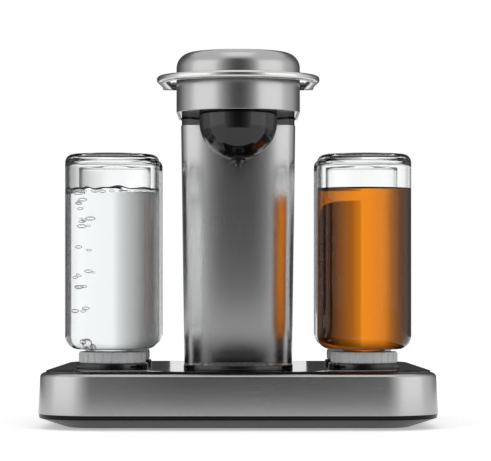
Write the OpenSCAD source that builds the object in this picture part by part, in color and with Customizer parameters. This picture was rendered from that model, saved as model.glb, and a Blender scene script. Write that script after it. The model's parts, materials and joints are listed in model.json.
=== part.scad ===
// Countertop cocktail dispenser. Four upturned spirit bottles and a water tank dock on a low base, and a
// column carries the capsule head: a bowl with a spout over the drip tray, under a lid that a ring handle
// swings up and back. A selector and a roller pump inside draw from one vessel at a time.
// +Z is up and -Y is the front. The origin lies on the surface the feet stand on, under the middle of the box
// that the whole dispenser fills.

/* [Base] */
// Width of the base across its front
base_w = 330; // [322:1:350]
// Distance from the origin to the front of the base
base_front = 135; // [132:1:145]
// How much narrower the base is at its back than at its front
base_taper = 13; // [0:1:16]
// Radius of the base's corners in plan
base_corner_r = 46; // [42:1:50]
// Height of the metal band's lower edge
band_z = 12; // [11:0.5:14]
// Height of the metal band
band_h = 33.8; // [33:0.2:37]
// How far the band leans inwards from its lower edge to its upper edge
band_draft = 1.6; // [0:0.1:2.4]
// Radius of the band's upper edge
band_edge_r = 4; // [2:0.5:5]
// Thickness of the band's metal at its thinnest
band_wall = 1.5; // [1:0.1:2]
// How far the deck stands above the band
deck_rise = 1.9; // [1.2:0.1:3]
// Thickness of the deck
deck_t = 2.8; // [2:0.1:3.4]
// How far the pan's underside draws in from its lip
pan_bevel = 24; // [18:1:27]
// Thickness of the pan's floor
pan_floor = 2.5; // [2:0.1:3]
// Height of the rubber feet
foot_h = 2.6; // [2:0.1:3]
// Radius of the rubber feet
foot_r = 9; // [6:0.5:10]

/* [Bottles] */
// Distance from the middle to each row of bottles
dock_x = 105.9; // [104:0.1:110]
// Place of the front docks along Y
dock_front_y = -50; // [-56:1:-48]
// Place of the rear docks along Y
dock_rear_y = 38; // [36:1:42]
// Radius of a bottle
bottle_r = 39.6; // [37:0.1:40.5]
// Height of a bottle's body, from its shoulder to its base
bottle_h = 163.7; // [140:1:175]
// Thickness of the bottle glass
bottle_wall = 2.6; // [2:0.1:3.4]
// Thickness of the glass at the bottle's base
bottle_base_t = 6; // [4:0.5:8]
// Radius of the bottle's neck
neck_r = 17.5; // [16:0.5:19]
// Height of the bottle's shoulder above the dock's rim
shoulder_lift = 11.3; // [10.5:0.1:14]
// Radius of a dock's rim
dock_r = 29.85; // [28.6:0.05:32]
// Height of a dock's rim above the deck
dock_rim_h = 4.8; // [4.2:0.1:6]

/* [Tank] */
// Place of the water tank's axis along Y
tank_y = 85; // [84:0.5:90]
// Radius of the water tank
tank_r = 40.5; // [36:0.5:42]
// Height of the water tank's body
tank_h = 176; // [150:1:185]
// Thickness of the water tank's wall
tank_wall = 2.4; // [2:0.1:3]

/* [Drip tray] */
// Place of the tray, the bowl and the spout along Y
spout_y = -70; // [-72:1:-69]
// Radius of the drip tray's rim
tray_r = 45.4; // [43:0.2:46]
// Height of the drip tray's rim above the deck
tray_rim_h = 4.3; // [4:0.1:5]
// Depth of the drip tray below the deck
tray_depth = 8; // [6:0.5:9]
// Width of a slot in the grate
slot_w = 3; // [2:0.5:3.5]
// Distance from one slot of the grate to the next
slot_pitch = 6; // [5.5:0.5:8]

/* [Column] */
// Half the column's width at its foot
column_foot = 46.7; // [44:0.1:48]
// Half the column's width at its top
column_head = 49.6; // [46:0.1:50.6]
// Depth of the column, front to back
column_d = 50; // [46:1:50]
// Place of the column's axis along Y
column_y = 17; // [16:0.5:18]
// Height of the column's top
column_top = 255.8; // [240:0.1:256]
// Thickness of the column's metal sleeve
sleeve_wall = 1.6; // [1.2:0.1:2]

/* [Head] */
// Radius of the head's front
head_r = 51.4; // [51:0.1:54]
// Height of the head's lower edge
head_z = 261.2; // [260:0.1:262]
// Height of the head's metal band
head_h = 27; // [25:0.5:29]
// Radius of the capsule bowl
bowl_r = 32.4; // [30:0.1:33]
// Height of the middle of the bowl's round bottom
bowl_z = 253.5; // [250:0.5:256]
// Thickness of the bowl's wall
bowl_wall = 2; // [1.6:0.1:3]
// Radius of the spout's disc
spout_disc_r = 7.1; // [6:0.1:8]
// Radius of the spout's nozzle
spout_r = 2.9; // [2.5:0.1:4]

/* [Lid and handle] */
// Radius that the ring handle reaches, about the bowl's axis
handle_r = 67.7; // [66:0.1:70]
// Width of the ring handle's bar, seen from above
handle_w = 8.5; // [7:0.1:9]
// Thickness of the ring handle's bar
handle_t = 5.9; // [5:0.1:6.5]
// Angle at which the handle's arms draw in towards the hinge
arm_angle = 3; // [2:0.5:4]
// Height of the lid's dome
lid_h = 21.5; // [20:0.5:26]
// Radius of the dome's rounded edge
lid_edge_r = 13; // [8:0.5:14]
// Rise of the dome's crown above its rounded edge
crown_rise = 1.9; // [1:0.1:3]
// Thickness of the lid's metal
lid_wall = 1.8; // [1.4:0.1:2.4]
// Radius of the hinge pin
hinge_pin_r = 2.5; // [2:0.1:2.6]

/* [Fits] */
// Gap beside parts that lift out or turn past each other
free_gap = 0.4; // [0.3:0.05:0.5]
// Radial gap between a turning shaft and its bore
running_gap = 0.05; // [0.03:0.01:0.08]
// Radial gap of a pressed pin, which only its interference fills
press_gap = 0.01; // [0:0.01:0.02]
// Gap between fixed parts that drop into each other
seat_gap = 0.2; // [0.1:0.05:0.3]

/* [Hidden] */
$fn = 96;
over = 1; // how far a cut runs past the face it opens

// Colours, as the dispenser's surfaces show them
gunmetal = [0.50, 0.50, 0.51];
satin = [0.86, 0.86, 0.84];
gloss_black = [0.05, 0.05, 0.055];
moulded_black = [0.10, 0.10, 0.105];
soft_rubber = [0.14, 0.14, 0.14];
clear_glass = [0.85, 0.90, 0.92, 0.35];
clear_plastic = [0.80, 0.86, 0.90, 0.35];
silicone = [0.82, 0.80, 0.76];
milky_plastic = [0.80, 0.80, 0.79];
board_green = [0.10, 0.32, 0.20];
steel = [0.72, 0.73, 0.74];

// Heights that pieces share
band_top = band_z + band_h;
deck_top = band_top + deck_rise;
deck_under = deck_top - deck_t;
lip_t = 1.8;
lip_under = band_top - lip_t;
flange_t = 1.5;
wall_top = lip_under - flange_t;
pan_z = 1;
floor_top = pan_z + pan_floor;
pan_lip_z = band_z - 3.5;
dock_top = deck_top + dock_rim_h;
shoulder_z = dock_top + shoulder_lift;
bottle_top = shoulder_z + bottle_h;
head_top = head_z + head_h;
handle_top = head_top + 3.2;
handle_z = handle_top - handle_t;
hinge_z = head_top + 0.5;
lid_top = handle_top + lid_h;
tray_top = deck_top + tray_rim_h;

// Places that pieces share
base_back = handle_r - spout_y; // the base reaches back as far as the handle reaches forward
front_corner = [base_w / 2 - base_corner_r, base_corner_r - base_front];
back_corner = [(base_w - base_taper) / 2 - base_corner_r, base_back - base_corner_r];
side_angle = atan((front_corner[0] - back_corner[0]) / (back_corner[1] - front_corner[1]));
dock_places = [
    [-dock_x, dock_front_y], [dock_x, dock_front_y], [-dock_x, dock_rear_y], [dock_x, dock_rear_y]
];
foot_x = base_w / 2 - 55;
foot_places = [[-foot_x, -88], [foot_x, -88], [2 - foot_x, 92], [foot_x - 2, 92]];
screw_x = base_w / 2 - 35;
rear_screw_x = (base_w - base_taper) / 2 - 19.5;
screw_places = [
    [-screw_x, -6], [screw_x, -6], [-62, -104], [62, -104], [-rear_screw_x, 72], [rear_screw_x, 72]
];

// Insets from the base's outline to each wall that follows it
band_inner = band_draft + band_wall;
lip_inset = band_draft + band_edge_r + 0.6;
wall_inset = band_inner + seat_gap;
pan_wall = 2.5;
plateau_inset = lip_inset + 0.3;
flange_inset = band_inner + 0.3;

// Inner parts
socket_r = 24.4;
barrel_r = 27;
nozzle_r = 12.5;
probe_r = 3;
dock_foot_z = 22;
port_l = 5;
ledge_z = 34;
selector_y = 2;
selector_w = 56;
selector_d = 30;
selector_z = 5;
selector_h = 20;
selector_bore_r = 11;
pump_y = 42;
pump_z = 23.5;
pump_r = 18.5;
pump_x = 2;
pump_l = 22;
roller_r = 4;
roller_orbit = 8.4;
cheek_r = 11.5;
cheek_t = 2;
tube_r = 2.2;
tube_race = pump_r - 1.2 - tube_r - 0.1;
tube_x = pump_x + pump_l / 2 + 1.5;
shaft_r = 2;
line_r = 2.4;
stub_r = 1.8;
inlet_x = -60;
rocker_x = -93;
rear_z = 28;
rear_wall_y = base_back - wall_inset;
lens_w = 70;
lens_d = 9;
lens_t = 1.6;
lens_y = -base_front + 12.8;

function arc(centre, r, from, to, steps) =
    [for (i = [0:steps]) let (a = from + (to - from) * i / steps) centre + r * [cos(a), sin(a)]];

// Outline of the base in plan, drawn in by inset: four corner arcs joined by straight sides
function base_plan(inset, steps = 12) = let (
    r = base_corner_r - inset,
    f = front_corner,
    b = back_corner
) concat(
    arc(f, r, -90, side_angle, steps),
    arc(b, r, side_angle, 90, steps),
    arc([-b[0], b[1]], r, 90, 180 - side_angle, steps),
    arc([-f[0], f[1]], r, 180 - side_angle, 270, steps)
);

// Outline of the column in plan: a superellipse, drawn in by inset
column_power = 2.7;
function rounded(c) = sign(c) * pow(abs(c), 2 / column_power);
function column_plan(half_w, inset, steps = 72) = [
    for (i = [0:steps - 1]) let (a = 360 * i / steps)
        [(half_w - inset) * rounded(cos(a)), column_y + (column_d / 2 - inset) * rounded(sin(a))]
];
function column_half(z) =
    column_foot + (column_head - column_foot) * (z - deck_top) / (column_top - deck_top);

// A solid through rings of points, each ring [height, points] with as many points as the next
module loft(rings) {
    n = len(rings[0][1]);
    polyhedron(
        points = [for (ring = rings) for (p = ring[1]) [p[0], p[1], ring[0]]],
        faces = concat(
            [[for (i = [0:n - 1]) i]],
            [for (k = [0:len(rings) - 2]) for (i = [0:n - 1])
                let (j = (i + 1) % n) [k * n + i, (k + 1) * n + i, (k + 1) * n + j, k * n + j]],
            [[for (i = [0:n - 1]) len(rings) * n - 1 - i]]
        )
    );
}

// Upright prism on the base's outline
module plan_prism(inset, z0, z1) {
    translate([0, 0, z0]) linear_extrude(z1 - z0) polygon(base_plan(inset));
}

module tube(r_out, r_in, z0, z1) {
    translate([0, 0, z0])
        difference() {
            cylinder(r = r_out, h = z1 - z0);
            translate([0, 0, -over]) cylinder(r = r_in, h = z1 - z0 + 2 * over);
        }
}

module disc(r, z0, z1) {
    translate([0, 0, z0]) cylinder(r = r, h = z1 - z0);
}

// Flat rectangle with round corners, centred
module rounded_rect(w, d, r) {
    square([w - 2 * r, d], center = true);
    square([w, d - 2 * r], center = true);
    for (x = [-1, 1], y = [-1, 1]) translate([x * (w / 2 - r), y * (d / 2 - r)]) circle(r = r);
}

module rounded_block(size, r) {
    linear_extrude(size[2]) rounded_rect(size[0], size[1], r);
}

// Half-section of a turned body with a rounded lower edge and a rounded upper edge
module turned_section(r, z0, z1, low_r, high_r) {
    translate([0, z0 + low_r]) square([r, z1 - z0 - low_r - high_r]);
    translate([0, z0]) square([r - low_r, low_r]);
    intersection() {
        translate([r - low_r, z0 + low_r]) circle(r = low_r);
        translate([r - low_r, z0]) square([low_r, low_r]);
    }
    translate([0, z1 - high_r]) square([r - high_r, high_r]);
    intersection() {
        translate([r - high_r, z1 - high_r]) circle(r = high_r);
        translate([r - high_r, z1 - high_r]) square([high_r, high_r]);
    }
}

function unit(v) = v / norm(v);

// A path with each inner corner replaced by a curve that starts and ends at most bend away from it
function rounded_path(points, bend, steps = 3) = concat(
    [points[0]],
    [for (i = [1:len(points) - 2]) let (
        p = points[i],
        back = points[i - 1] - p,
        on = points[i + 1] - p,
        start = p + unit(back) * min(bend, norm(back) / (i == 1 ? 1.05 : 2.1)),
        end = p + unit(on) * min(bend, norm(on) / (i == len(points) - 2 ? 1.05 : 2.1))
    ) for (k = [0:steps]) let (t = k / steps)
        pow(1 - t, 2) * start + 2 * t * (1 - t) * p + pow(t, 2) * end],
    [points[len(points) - 1]]
);

// The ring of points where a tube along direction d from the last ring meets the plane through p with normal n
function carried(ring, d, p, n) = [for (v = ring) v + d * ((p - v) * n) / (d * n)];

// Round hose swept along a path: mitred rings, each carried on from the one before it
module hose(points, r, bend = 9, sides = 12) {
    path = rounded_path(points, bend);
    last = len(path) - 1;
    d = [for (i = [0:last - 1]) unit(path[i + 1] - path[i])];
    normals = concat([d[0]], [for (i = [1:last - 1]) unit(d[i - 1] + d[i])], [d[last - 1]]);
    u = unit(cross(d[0], abs(d[0][2]) > 0.9 ? [1, 0, 0] : [0, 0, 1]));
    v = cross(d[0], u);
    first = [for (k = [0:sides - 1]) let (a = 360 * k / sides) path[0] + r * (cos(a) * u + sin(a) * v)];
    rings = [for (i = 0, ring = first; i <= last; i = i + 1,
        ring = i <= last ? carried(ring, d[i - 1], path[i], normals[i]) : ring) ring];
    polyhedron(
        points = [for (ring = rings) for (p = ring) p],
        faces = concat(
            [[for (k = [0:sides - 1]) sides - 1 - k]],
            [for (i = [0:last - 1]) for (k = [0:sides - 1]) let (j = (k + 1) % sides)
                [i * sides + k, i * sides + j, (i + 1) * sides + j, (i + 1) * sides + k]],
            [[for (k = [0:sides - 1]) last * sides + k]]
        )
    );
}

// Cylinder along X
module across(r, x0, x1) {
    translate([x0, 0, 0]) rotate([0, 90, 0]) cylinder(r = r, h = x1 - x0);
}

// ---- Base ----

post_top = 16;
post_r = 5.5;
screw_r = 1.45;

// Moulded pan: dished underside, upright wall behind the band, ribs, screw posts, foot pockets and vents
module base_pan() {
    vent_w = 3;
    vent_l = 26;
    rib_h = 3;
    rib_t = 1.6;
    color(moulded_black)
        difference() {
            union() {
                difference() {
                    union() {
                        loft([
                            [pan_z, base_plan(pan_bevel)],
                            [pan_lip_z, base_plan(1)],
                            [band_z, base_plan(0.4)]
                        ]);
                        plan_prism(wall_inset, band_z - over, wall_top);
                    }
                    loft([
                        [floor_top, base_plan(pan_bevel + 2)],
                        [pan_lip_z + 1.6, base_plan(wall_inset + pan_wall + 0.4)]
                    ]);
                    plan_prism(wall_inset + pan_wall, pan_lip_z + 1.5, wall_top + over);
                }
                for (p = screw_places) translate(p) disc(post_r, pan_z + 1, post_top);
                for (p = foot_places) translate(p) disc(foot_r + 2.4, pan_z + 0.5, foot_h + 2.6);
                for (y = [-84:24:-36]) translate([-64, y, floor_top - 0.5]) cube([128, rib_t, rib_h]);
                for (x = [-60:30:60]) translate([x - rib_t / 2, -90, floor_top - 0.5]) cube([rib_t, 60, rib_h]);
            }
            for (p = screw_places) translate(p) {
                disc(screw_r + 0.45, 0, post_top + over);
                disc(screw_r + 2.25, 0, 10);
            }
            for (p = foot_places) translate(p) disc(foot_r + seat_gap, -over, foot_h);
            for (side = [-1, 1], i = [-3:3])
                translate([side * 66 + i * 7, -2, 0]) linear_extrude(8) rounded_rect(vent_w, vent_l, 1.4);
            rear_cutouts(pan_wall + 4);
        }
}

// Openings in the rear wall for the inlet and the switch
module rear_cutouts(depth) {
    translate([inlet_x, base_back + over, rear_z]) rotate([90, 0, 0])
        linear_extrude(depth + wall_inset) rounded_rect(25 + 2 * seat_gap, 18 + 2 * seat_gap, 3 + seat_gap);
    translate([rocker_x, base_back + over, rear_z]) rotate([90, 0, 0])
        linear_extrude(depth + wall_inset) rounded_rect(21 + 2 * seat_gap, 15 + 2 * seat_gap, 1.5 + seat_gap);
}

module rubber_feet() {
    color(soft_rubber)
        for (p = foot_places) translate(p)
            rotate_extrude() turned_section(foot_r, 0, foot_h, 0.8, 0.3);
}

module base_screws() {
    color(steel)
        for (p = screw_places) translate(p) difference() {
            union() {
                disc(screw_r + 1.85, 7.6, 10);
                disc(screw_r, 9, post_top + 12);
            }
            translate([0, 0, 7.6]) for (a = [0, 90]) rotate(a) cube([3.6, 0.8, 2.2], center = true);
        }
}

// Drawn metal band with a leaning wall, a rounded upper edge and a lip that turns in over the deck's flange
module base_band() {
    steps = 4;
    color(gunmetal)
        difference() {
            loft(concat(
                [[band_z, base_plan(0)]],
                [for (i = [0:steps]) let (a = 90 * i / steps)
                    [band_top - band_edge_r * (1 - sin(a)), base_plan(band_draft + band_edge_r * (1 - cos(a)))]]
            ));
            plan_prism(band_inner, band_z - over, lip_under);
            plan_prism(lip_inset, band_z, band_top + over);
            rear_cutouts(pan_wall);
        }
}

// Glossy deck: a plateau inside the band's lip, a flange under it, sockets, tray well and screw bosses
module deck() {
    well_r = tray_r - 3;
    color(gloss_black)
        difference() {
            union() {
                difference() {
                    union() {
                        loft([
                            [lip_under - 0.5, base_plan(plateau_inset)],
                            [deck_top - 0.8, base_plan(plateau_inset)],
                            [deck_top - 0.25, base_plan(plateau_inset + 0.25)],
                            [deck_top, base_plan(plateau_inset + 0.8)]
                        ]);
                        plan_prism(flange_inset, wall_top, lip_under);
                    }
                    plan_prism(plateau_inset + 2.5, wall_top - over, deck_under);
                }
                for (p = screw_places) translate(p) disc(4.5, post_top, deck_under + 0.5);
                translate([0, spout_y])
                    tube(well_r + 2, well_r, deck_top - tray_depth - 3.5, deck_under + 0.5);
                translate([0, spout_y])
                    disc(well_r + 2, deck_top - tray_depth - 3.5, deck_top - tray_depth - 1.5);
            }
            for (p = dock_places) translate(p) disc(barrel_r + seat_gap, wall_top - over, deck_top + over);
            translate([0, tank_y]) disc(barrel_r - 3 + seat_gap, wall_top - over, deck_top + over);
            translate([0, spout_y]) disc(well_r, deck_top - tray_depth - 1.5, deck_top + over);
            translate([0, column_y, wall_top - over]) linear_extrude(20) rounded_rect(60, 26, 5);
            translate([0, lens_y, deck_top - lens_t]) linear_extrude(lens_t + over)
                rounded_rect(lens_w + 2 * seat_gap, lens_d + 2 * seat_gap, 2);
            translate([0, lens_y, wall_top - over]) linear_extrude(20) rounded_rect(lens_w - 4, lens_d - 3, 2);
            for (p = screw_places) translate(p) disc(screw_r + running_gap, post_top - over, post_top + 14);
        }
}

module display_lens() {
    color(gloss_black)
        translate([0, lens_y, deck_top - lens_t]) rounded_block([lens_w, lens_d, lens_t], 2 - seat_gap);
}

// Narrow board behind the lens, with five touch pads and a connector
module display_board() {
    board_t = 1.6;
    color(board_green) {
        translate([0, lens_y, deck_under - board_t]) {
            translate([-36, -2.4, 0]) cube([72, 6.6, board_t]);
            for (x = [-24:12:24]) translate([x, 0, board_t - 0.1]) cylinder(r = 2.4, h = deck_t - lens_t + 0.1);
            translate([14, -1.5, -4]) cube([10, 5, 4]);
        }
    }
}

// Control board on four standoffs, with its chips, capacitors and sockets
module main_board() {
    board = [84, 42, 1.6];
    board_z = 10;
    chip_w = 16;
    rear_post_z = 6.6; // clear of the pan's rising floor
    centre = [base_w / 2 - 87, base_back - 36.7];
    color(board_green)
        translate([centre[0], centre[1], 0]) {
            translate([-board[0] / 2, -board[1] / 2, board_z]) cube(board);
            for (x = [-1, 1], y = [-1, 1])
                translate([x * (board[0] / 2 - 5), y * (board[1] / 2 - 4)])
                    disc(2.6, y > 0 ? rear_post_z : x > 0 ? foot_h + 2.6 : floor_top, board_z);
            translate([-14, -8, board_z + board[2]]) cube([chip_w, chip_w, 1.8]);
            translate([12, -12, board_z + board[2]]) cube([10, 8, 1.5]);
            for (x = [14:11:36]) translate([x - 4, 9, board_z + board[2]]) cylinder(r = 4, h = 14);
            for (x = [-38:16:-6]) translate([x, -20, board_z + board[2]]) cube([12, 6, 7]);
            translate([-38, 6, board_z + board[2]]) cube([18, 10, 8]);
        }
}

// Enclosed supply on four pads, with cooling fins on its lid
module power_supply() {
    centre = [58 - base_w / 2, base_back - 47.7];
    size = [46, 34];
    low = foot_h + 2.6;
    color(moulded_black)
        translate([centre[0], centre[1], 0]) {
            translate([0, 0, low]) rounded_block([size[0], size[1], 22], 3);
            for (i = [-3:3]) translate([i * 6 - 1, -size[1] / 2 + 3, low + 21]) cube([2, size[1] - 6, 5]);
        }
}

rocker_w = 16;
rocker_y = base_back - 7.2;
rocker_tilt = 8;
pin_r = 1.2;

module wall_prism(x, w, h, r, y0, y1) {
    translate([x, y1, rear_z]) rotate([90, 0, 0]) linear_extrude(y1 - y0) rounded_rect(w, h, r);
}

// Inlet and switch frame in one moulding: two fronts through the wall, a flange behind it, two contact pins
module mains_inlet() {
    front = base_back - 0.4;
    flange_y = rear_wall_y - pan_wall - seat_gap;
    pole_x = 4.2;
    flange_w = inlet_x - rocker_x + 28;
    color(moulded_black)
        difference() {
            union() {
                wall_prism(inlet_x, 25, 18, 3, front - 20, front);
                wall_prism(rocker_x, 21, 15, 1.5, front - 18, front);
                wall_prism((inlet_x + rocker_x) / 2, flange_w, 23, 3, flange_y - 2, flange_y);
            }
            difference() {
                translate([inlet_x, front + over, rear_z]) rotate([90, 0, 0]) linear_extrude(15) union() {
                    for (x = [-pole_x, pole_x]) translate([x, 0]) circle(r = 4.6);
                    square([2 * pole_x, 7.4], center = true);
                }
                for (x = [-pole_x, pole_x]) translate([inlet_x + x, front - 2, rear_z]) rotate([90, 0, 0])
                    cylinder(r = 1.2, h = 14);
            }
            translate([rocker_x - rocker_w / 2 - 0.3, rocker_y - 8, rear_z - 6.8])
                cube([rocker_w + 0.6, 20, 13.6]);
            translate([rocker_x, rocker_y, rear_z])
                across(pin_r + running_gap, -rocker_w / 2 - 1.5, rocker_w / 2 + 1.5);
        }
}

// Rocker with a shallow valley in its face, drawn tilted to its off position
module power_rocker() {
    color(moulded_black)
        translate([rocker_x, rocker_y, rear_z]) rotate([rocker_tilt, 0, 0]) {
            translate([-rocker_w / 2, 0, 0]) rotate([90, 0, 90]) linear_extrude(rocker_w)
                polygon([[-4, -3], [0, -6], [5.4, -6], [3.6, 0], [5.4, 6], [0, 6], [-4, 3]]);
            across(pin_r, -rocker_w / 2 - 1.4, rocker_w / 2 + 1.4);
        }
}

// ---- Drip tray ----

tray_wall = 1.8;
grate_t = 2.3;
grate_z = tray_top - grate_t - 0.2;
module drip_tray() {
    cup_r = tray_r - 3 - free_gap;
    floor_z = deck_top - tray_depth;
    color(gloss_black)
        translate([0, spout_y]) difference() {
            union() {
                rotate_extrude() turned_section(tray_r, deck_top, tray_top, 0.3, 1);
                disc(cup_r, floor_z, deck_top + 0.5);
            }
            disc(tray_r - tray_wall, grate_z, tray_top + over);
            disc(cup_r - tray_wall, floor_z + tray_wall, tray_top + over);
        }
}

// Grate: parallel slots cut to the chord of the disc, with round ends, a middle rib and a finger notch
module drip_grate() {
    r = tray_r - tray_wall - free_gap;
    rim = 4;
    rib = 2.5;
    count = floor((r - rim) / slot_pitch);
    color(gunmetal)
        translate([0, spout_y, grate_z]) difference() {
            linear_extrude(grate_t) difference() {
                circle(r = r);
                for (i = [-count:count]) let (x = i * slot_pitch, half = sqrt(pow(r - rim, 2) - pow(x, 2)))
                    if (half > slot_w + rib) for (side = [-1, 1]) translate([x, side * (half + rib) / 2]) {
                        square([slot_w, half - rib - slot_w], center = true);
                        for (end = [-1, 1]) translate([0, end * (half - rib - slot_w) / 2])
                            circle(r = slot_w / 2);
                    }
            }
            translate([0, -r, grate_t - 1]) cylinder(r = 7, h = 2);
        }
}

// ---- Docks, bottles and tank ----

// Socket for a bottle cap: rim on the deck, wide barrel, narrow well with a ring groove, port under it
module dock(place) {
    color(gloss_black)
        translate(place) difference() {
            union() {
                rotate_extrude() turned_section(dock_r, deck_top, dock_top, 0.2, 1.2);
                disc(barrel_r, dock_foot_z, deck_top + 0.5);
                disc(line_r + 1.6, dock_foot_z - port_l, dock_foot_z + 0.5);
            }
            disc(socket_r, ledge_z, dock_top + over);
            disc(nozzle_r + free_gap, dock_foot_z + 4, ledge_z + over);
            tube(nozzle_r + 2.2, nozzle_r - 1, 29, 31);
            disc(line_r - 1, dock_foot_z - port_l - over, dock_foot_z + 5);
            translate([0, 0, dock_top]) rotate_extrude()
                polygon([
                    [socket_r - 1, over], [socket_r + 2.4, over], [socket_r - 0.01, -1.8], [socket_r - 1, -1.8]
                ]);
        }
}

module dock_front_left() dock(dock_places[0]);
module dock_front_right() dock(dock_places[1]);
module dock_rear_left() dock(dock_places[2]);
module dock_rear_right() dock(dock_places[3]);

// Hollow probe in each socket that holds the cap's valve open
module probe() {
    foot = dock_foot_z + 4;
    color(steel)
        difference() {
            union() {
                disc(probe_r, foot, 33);
                disc(probe_r + 3, foot, foot + 1.4);
            }
            disc(line_r - 1, foot - over, 33 + over);
            translate([0, 0, 33]) for (a = [0, 60, 120]) rotate(a)
                cube([2 * probe_r + over, 1.2, 3], center = true);
        }
}

module dock_probes() {
    for (p = dock_places) translate(p) probe();
}

module seal_ring() {
    rotate_extrude() translate([nozzle_r + 1.25, 30]) circle(r = 0.95);
}

module dock_seals() {
    color(soft_rubber) for (p = dock_places) translate(p) seal_ring();
}

neck_z = dock_top - 9;
cap_floor_z = neck_z - 3;
cap_collar_top = shoulder_z - 2;
// Upturned glass bottle: neck down, rounded shoulder, thick base on top
module bottle(place) {
    low_r = 11;
    high_r = 6.8;
    color(clear_glass)
        translate(place) rotate_extrude() difference() {
            union() {
                turned_section(bottle_r, shoulder_z, bottle_top, low_r, high_r);
                translate([0, neck_z]) square([neck_r, shoulder_z - neck_z + over]);
                translate([neck_r - 1, neck_z + 5]) square([2, 2.2]);
                translate([neck_r - 1, neck_z + 10]) square([2, 2.2]);
            }
            turned_section(bottle_r - bottle_wall, shoulder_z + bottle_wall, bottle_top - bottle_base_t,
                low_r - bottle_wall, high_r - bottle_wall);
            translate([0, neck_z - over]) square([neck_r - bottle_wall, shoulder_z - neck_z + 2 * bottle_wall]);
        }
}

module bottle_front_left() bottle(dock_places[0]);
module bottle_front_right() bottle(dock_places[1]);
module bottle_rear_left() bottle(dock_places[2]);
module bottle_rear_right() bottle(dock_places[3]);

// Valve cap: ribbed collar on the rim, plug in the socket, nozzle in the well, seat for the valve
module cap(place) {
    collar_r = socket_r + 3.1;
    ribs = 24;
    inner = neck_r + 1 + seat_gap;
    color(milky_plastic)
        translate(place) difference() {
            union() {
                disc(collar_r, dock_top, cap_collar_top);
                disc(socket_r - free_gap, ledge_z + 0.4, dock_top + 0.5);
                disc(nozzle_r, dock_foot_z + 4.6, ledge_z + over);
                for (i = [0:ribs - 1]) rotate(360 * i / ribs)
                    translate([collar_r - 0.2, 0]) disc(0.9, dock_top + 0.8, cap_collar_top - 0.8);
            }
            disc(inner, neck_z - 0.1, cap_collar_top + over);
            disc(7, cap_floor_z, neck_z);
            disc(3.4, ledge_z, cap_floor_z + over);
            disc(nozzle_r - 2.4, dock_foot_z + 4, ledge_z + 2);
            tube(inner + 3.6, inner + 1.8, ledge_z - over, dock_top - 4);
        }
}

module cap_front_left() cap(dock_places[0]);
module cap_front_right() cap(dock_places[1]);
module cap_rear_left() cap(dock_places[2]);
module cap_rear_right() cap(dock_places[3]);

// Moulded silicone valve, held open by the probe: stem, umbrella and foot
module valve(place) {
    color(silicone)
        translate(place) rotate_extrude() {
            translate([0, 33.2]) square([2.2, cap_floor_z + 4 - 33.2]);
            translate([0, 33.2]) square([4.2, 1.2]);
            polygon([[0, cap_floor_z + 2.2], [6.2, cap_floor_z + 1], [6.4, cap_floor_z + 1.8],
                [2, cap_floor_z + 4], [0, cap_floor_z + 4]]);
        }
}

module valve_front_left() valve(dock_places[0]);
module valve_front_right() valve(dock_places[1]);
module valve_rear_left() valve(dock_places[2]);
module valve_rear_right() valve(dock_places[3]);

tank_z = deck_top + 4;
tank_nozzle_r = 11;
// Water tank: open at the top, with a grip rim and a nozzle in its floor
module water_tank() {
    color(clear_plastic)
        translate([0, tank_y]) difference() {
            rotate_extrude() difference() {
                union() {
                    turned_section(tank_r, tank_z, tank_z + tank_h, 6, 1);
                    translate([0, tank_z - 12]) square([tank_nozzle_r, 13]);
                }
                turned_section(tank_r - tank_wall, tank_z + tank_wall, tank_z + tank_h + 4, 4, 1);
                translate([0, tank_z - 13]) square([tank_nozzle_r - 2.4, 9]);
                translate([0, tank_z - 13]) square([3.4, 20]);
            }
        }
}

// Lift-off lid with a rim, a skirt inside the tank and a finger hollow
module tank_lid() {
    top = tank_z + tank_h;
    skirt_r = tank_r - tank_wall - free_gap;
    color(moulded_black)
        translate([0, tank_y]) difference() {
            union() {
                rotate_extrude() turned_section(tank_r, top, top + 4, 0.2, 1.5);
                tube(skirt_r, skirt_r - 1.8, top - 6, top + 0.5);
            }
            translate([0, 0, top + 26]) sphere(r = 24.5);
        }
}

module tank_valve() {
    color(silicone)
        translate([0, tank_y]) rotate_extrude() {
            translate([0, tank_z - 8.5]) square([2.2, 14.5]);
            translate([0, tank_z - 8.5]) square([4.2, 1.2]);
            polygon([
                [0, tank_z + 3.6], [6.2, tank_z + 2.8], [6.4, tank_z + 3.6], [2, tank_z + 6], [0, tank_z + 6]
            ]);
        }
}

// Seat for the tank: rim on the deck, barrel below, well with a ring and a probe
module tank_dock() {
    foot = dock_foot_z + 4;
    color(gloss_black)
        translate([0, tank_y]) difference() {
            union() {
                rotate_extrude() turned_section(dock_r, deck_top, tank_z, 0.2, 1);
                disc(barrel_r - 3, dock_foot_z, deck_top + 0.5);
                disc(line_r + 1.6, dock_foot_z - port_l, dock_foot_z + 0.5);
            }
            difference() {
                disc(tank_nozzle_r + free_gap, foot + 6, tank_z + over);
                disc(probe_r, foot, tank_z - 8.7);
            }
            disc(line_r - 1, dock_foot_z - port_l - over, tank_z);
        }
}

// ---- Fluid path in the base ----

line_z = 8.6;
block_side = selector_w / 2;
port_z = selector_z + 8;
port_ys = [selector_y - 8, selector_y + 6];
rear_port_x = 16;
stub_l = 4;

// Four hoses from the docks' ports to the selector's sides
module spirit_lines() {
    color(silicone)
        for (side = [-1, 1], row = [0, 1]) {
            y = row == 0 ? dock_front_y : dock_rear_y;
            port_y = port_ys[row];
            hose([
                [side * dock_x, y, dock_foot_z - port_l],
                [side * dock_x, y, line_z],
                [side * (block_side + 32), port_y + (y - port_y) / 4, line_z],
                [side * (block_side + 14), port_y, port_z],
                [side * (block_side + stub_l), port_y, port_z]
            ], line_r);
        }
}

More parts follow.
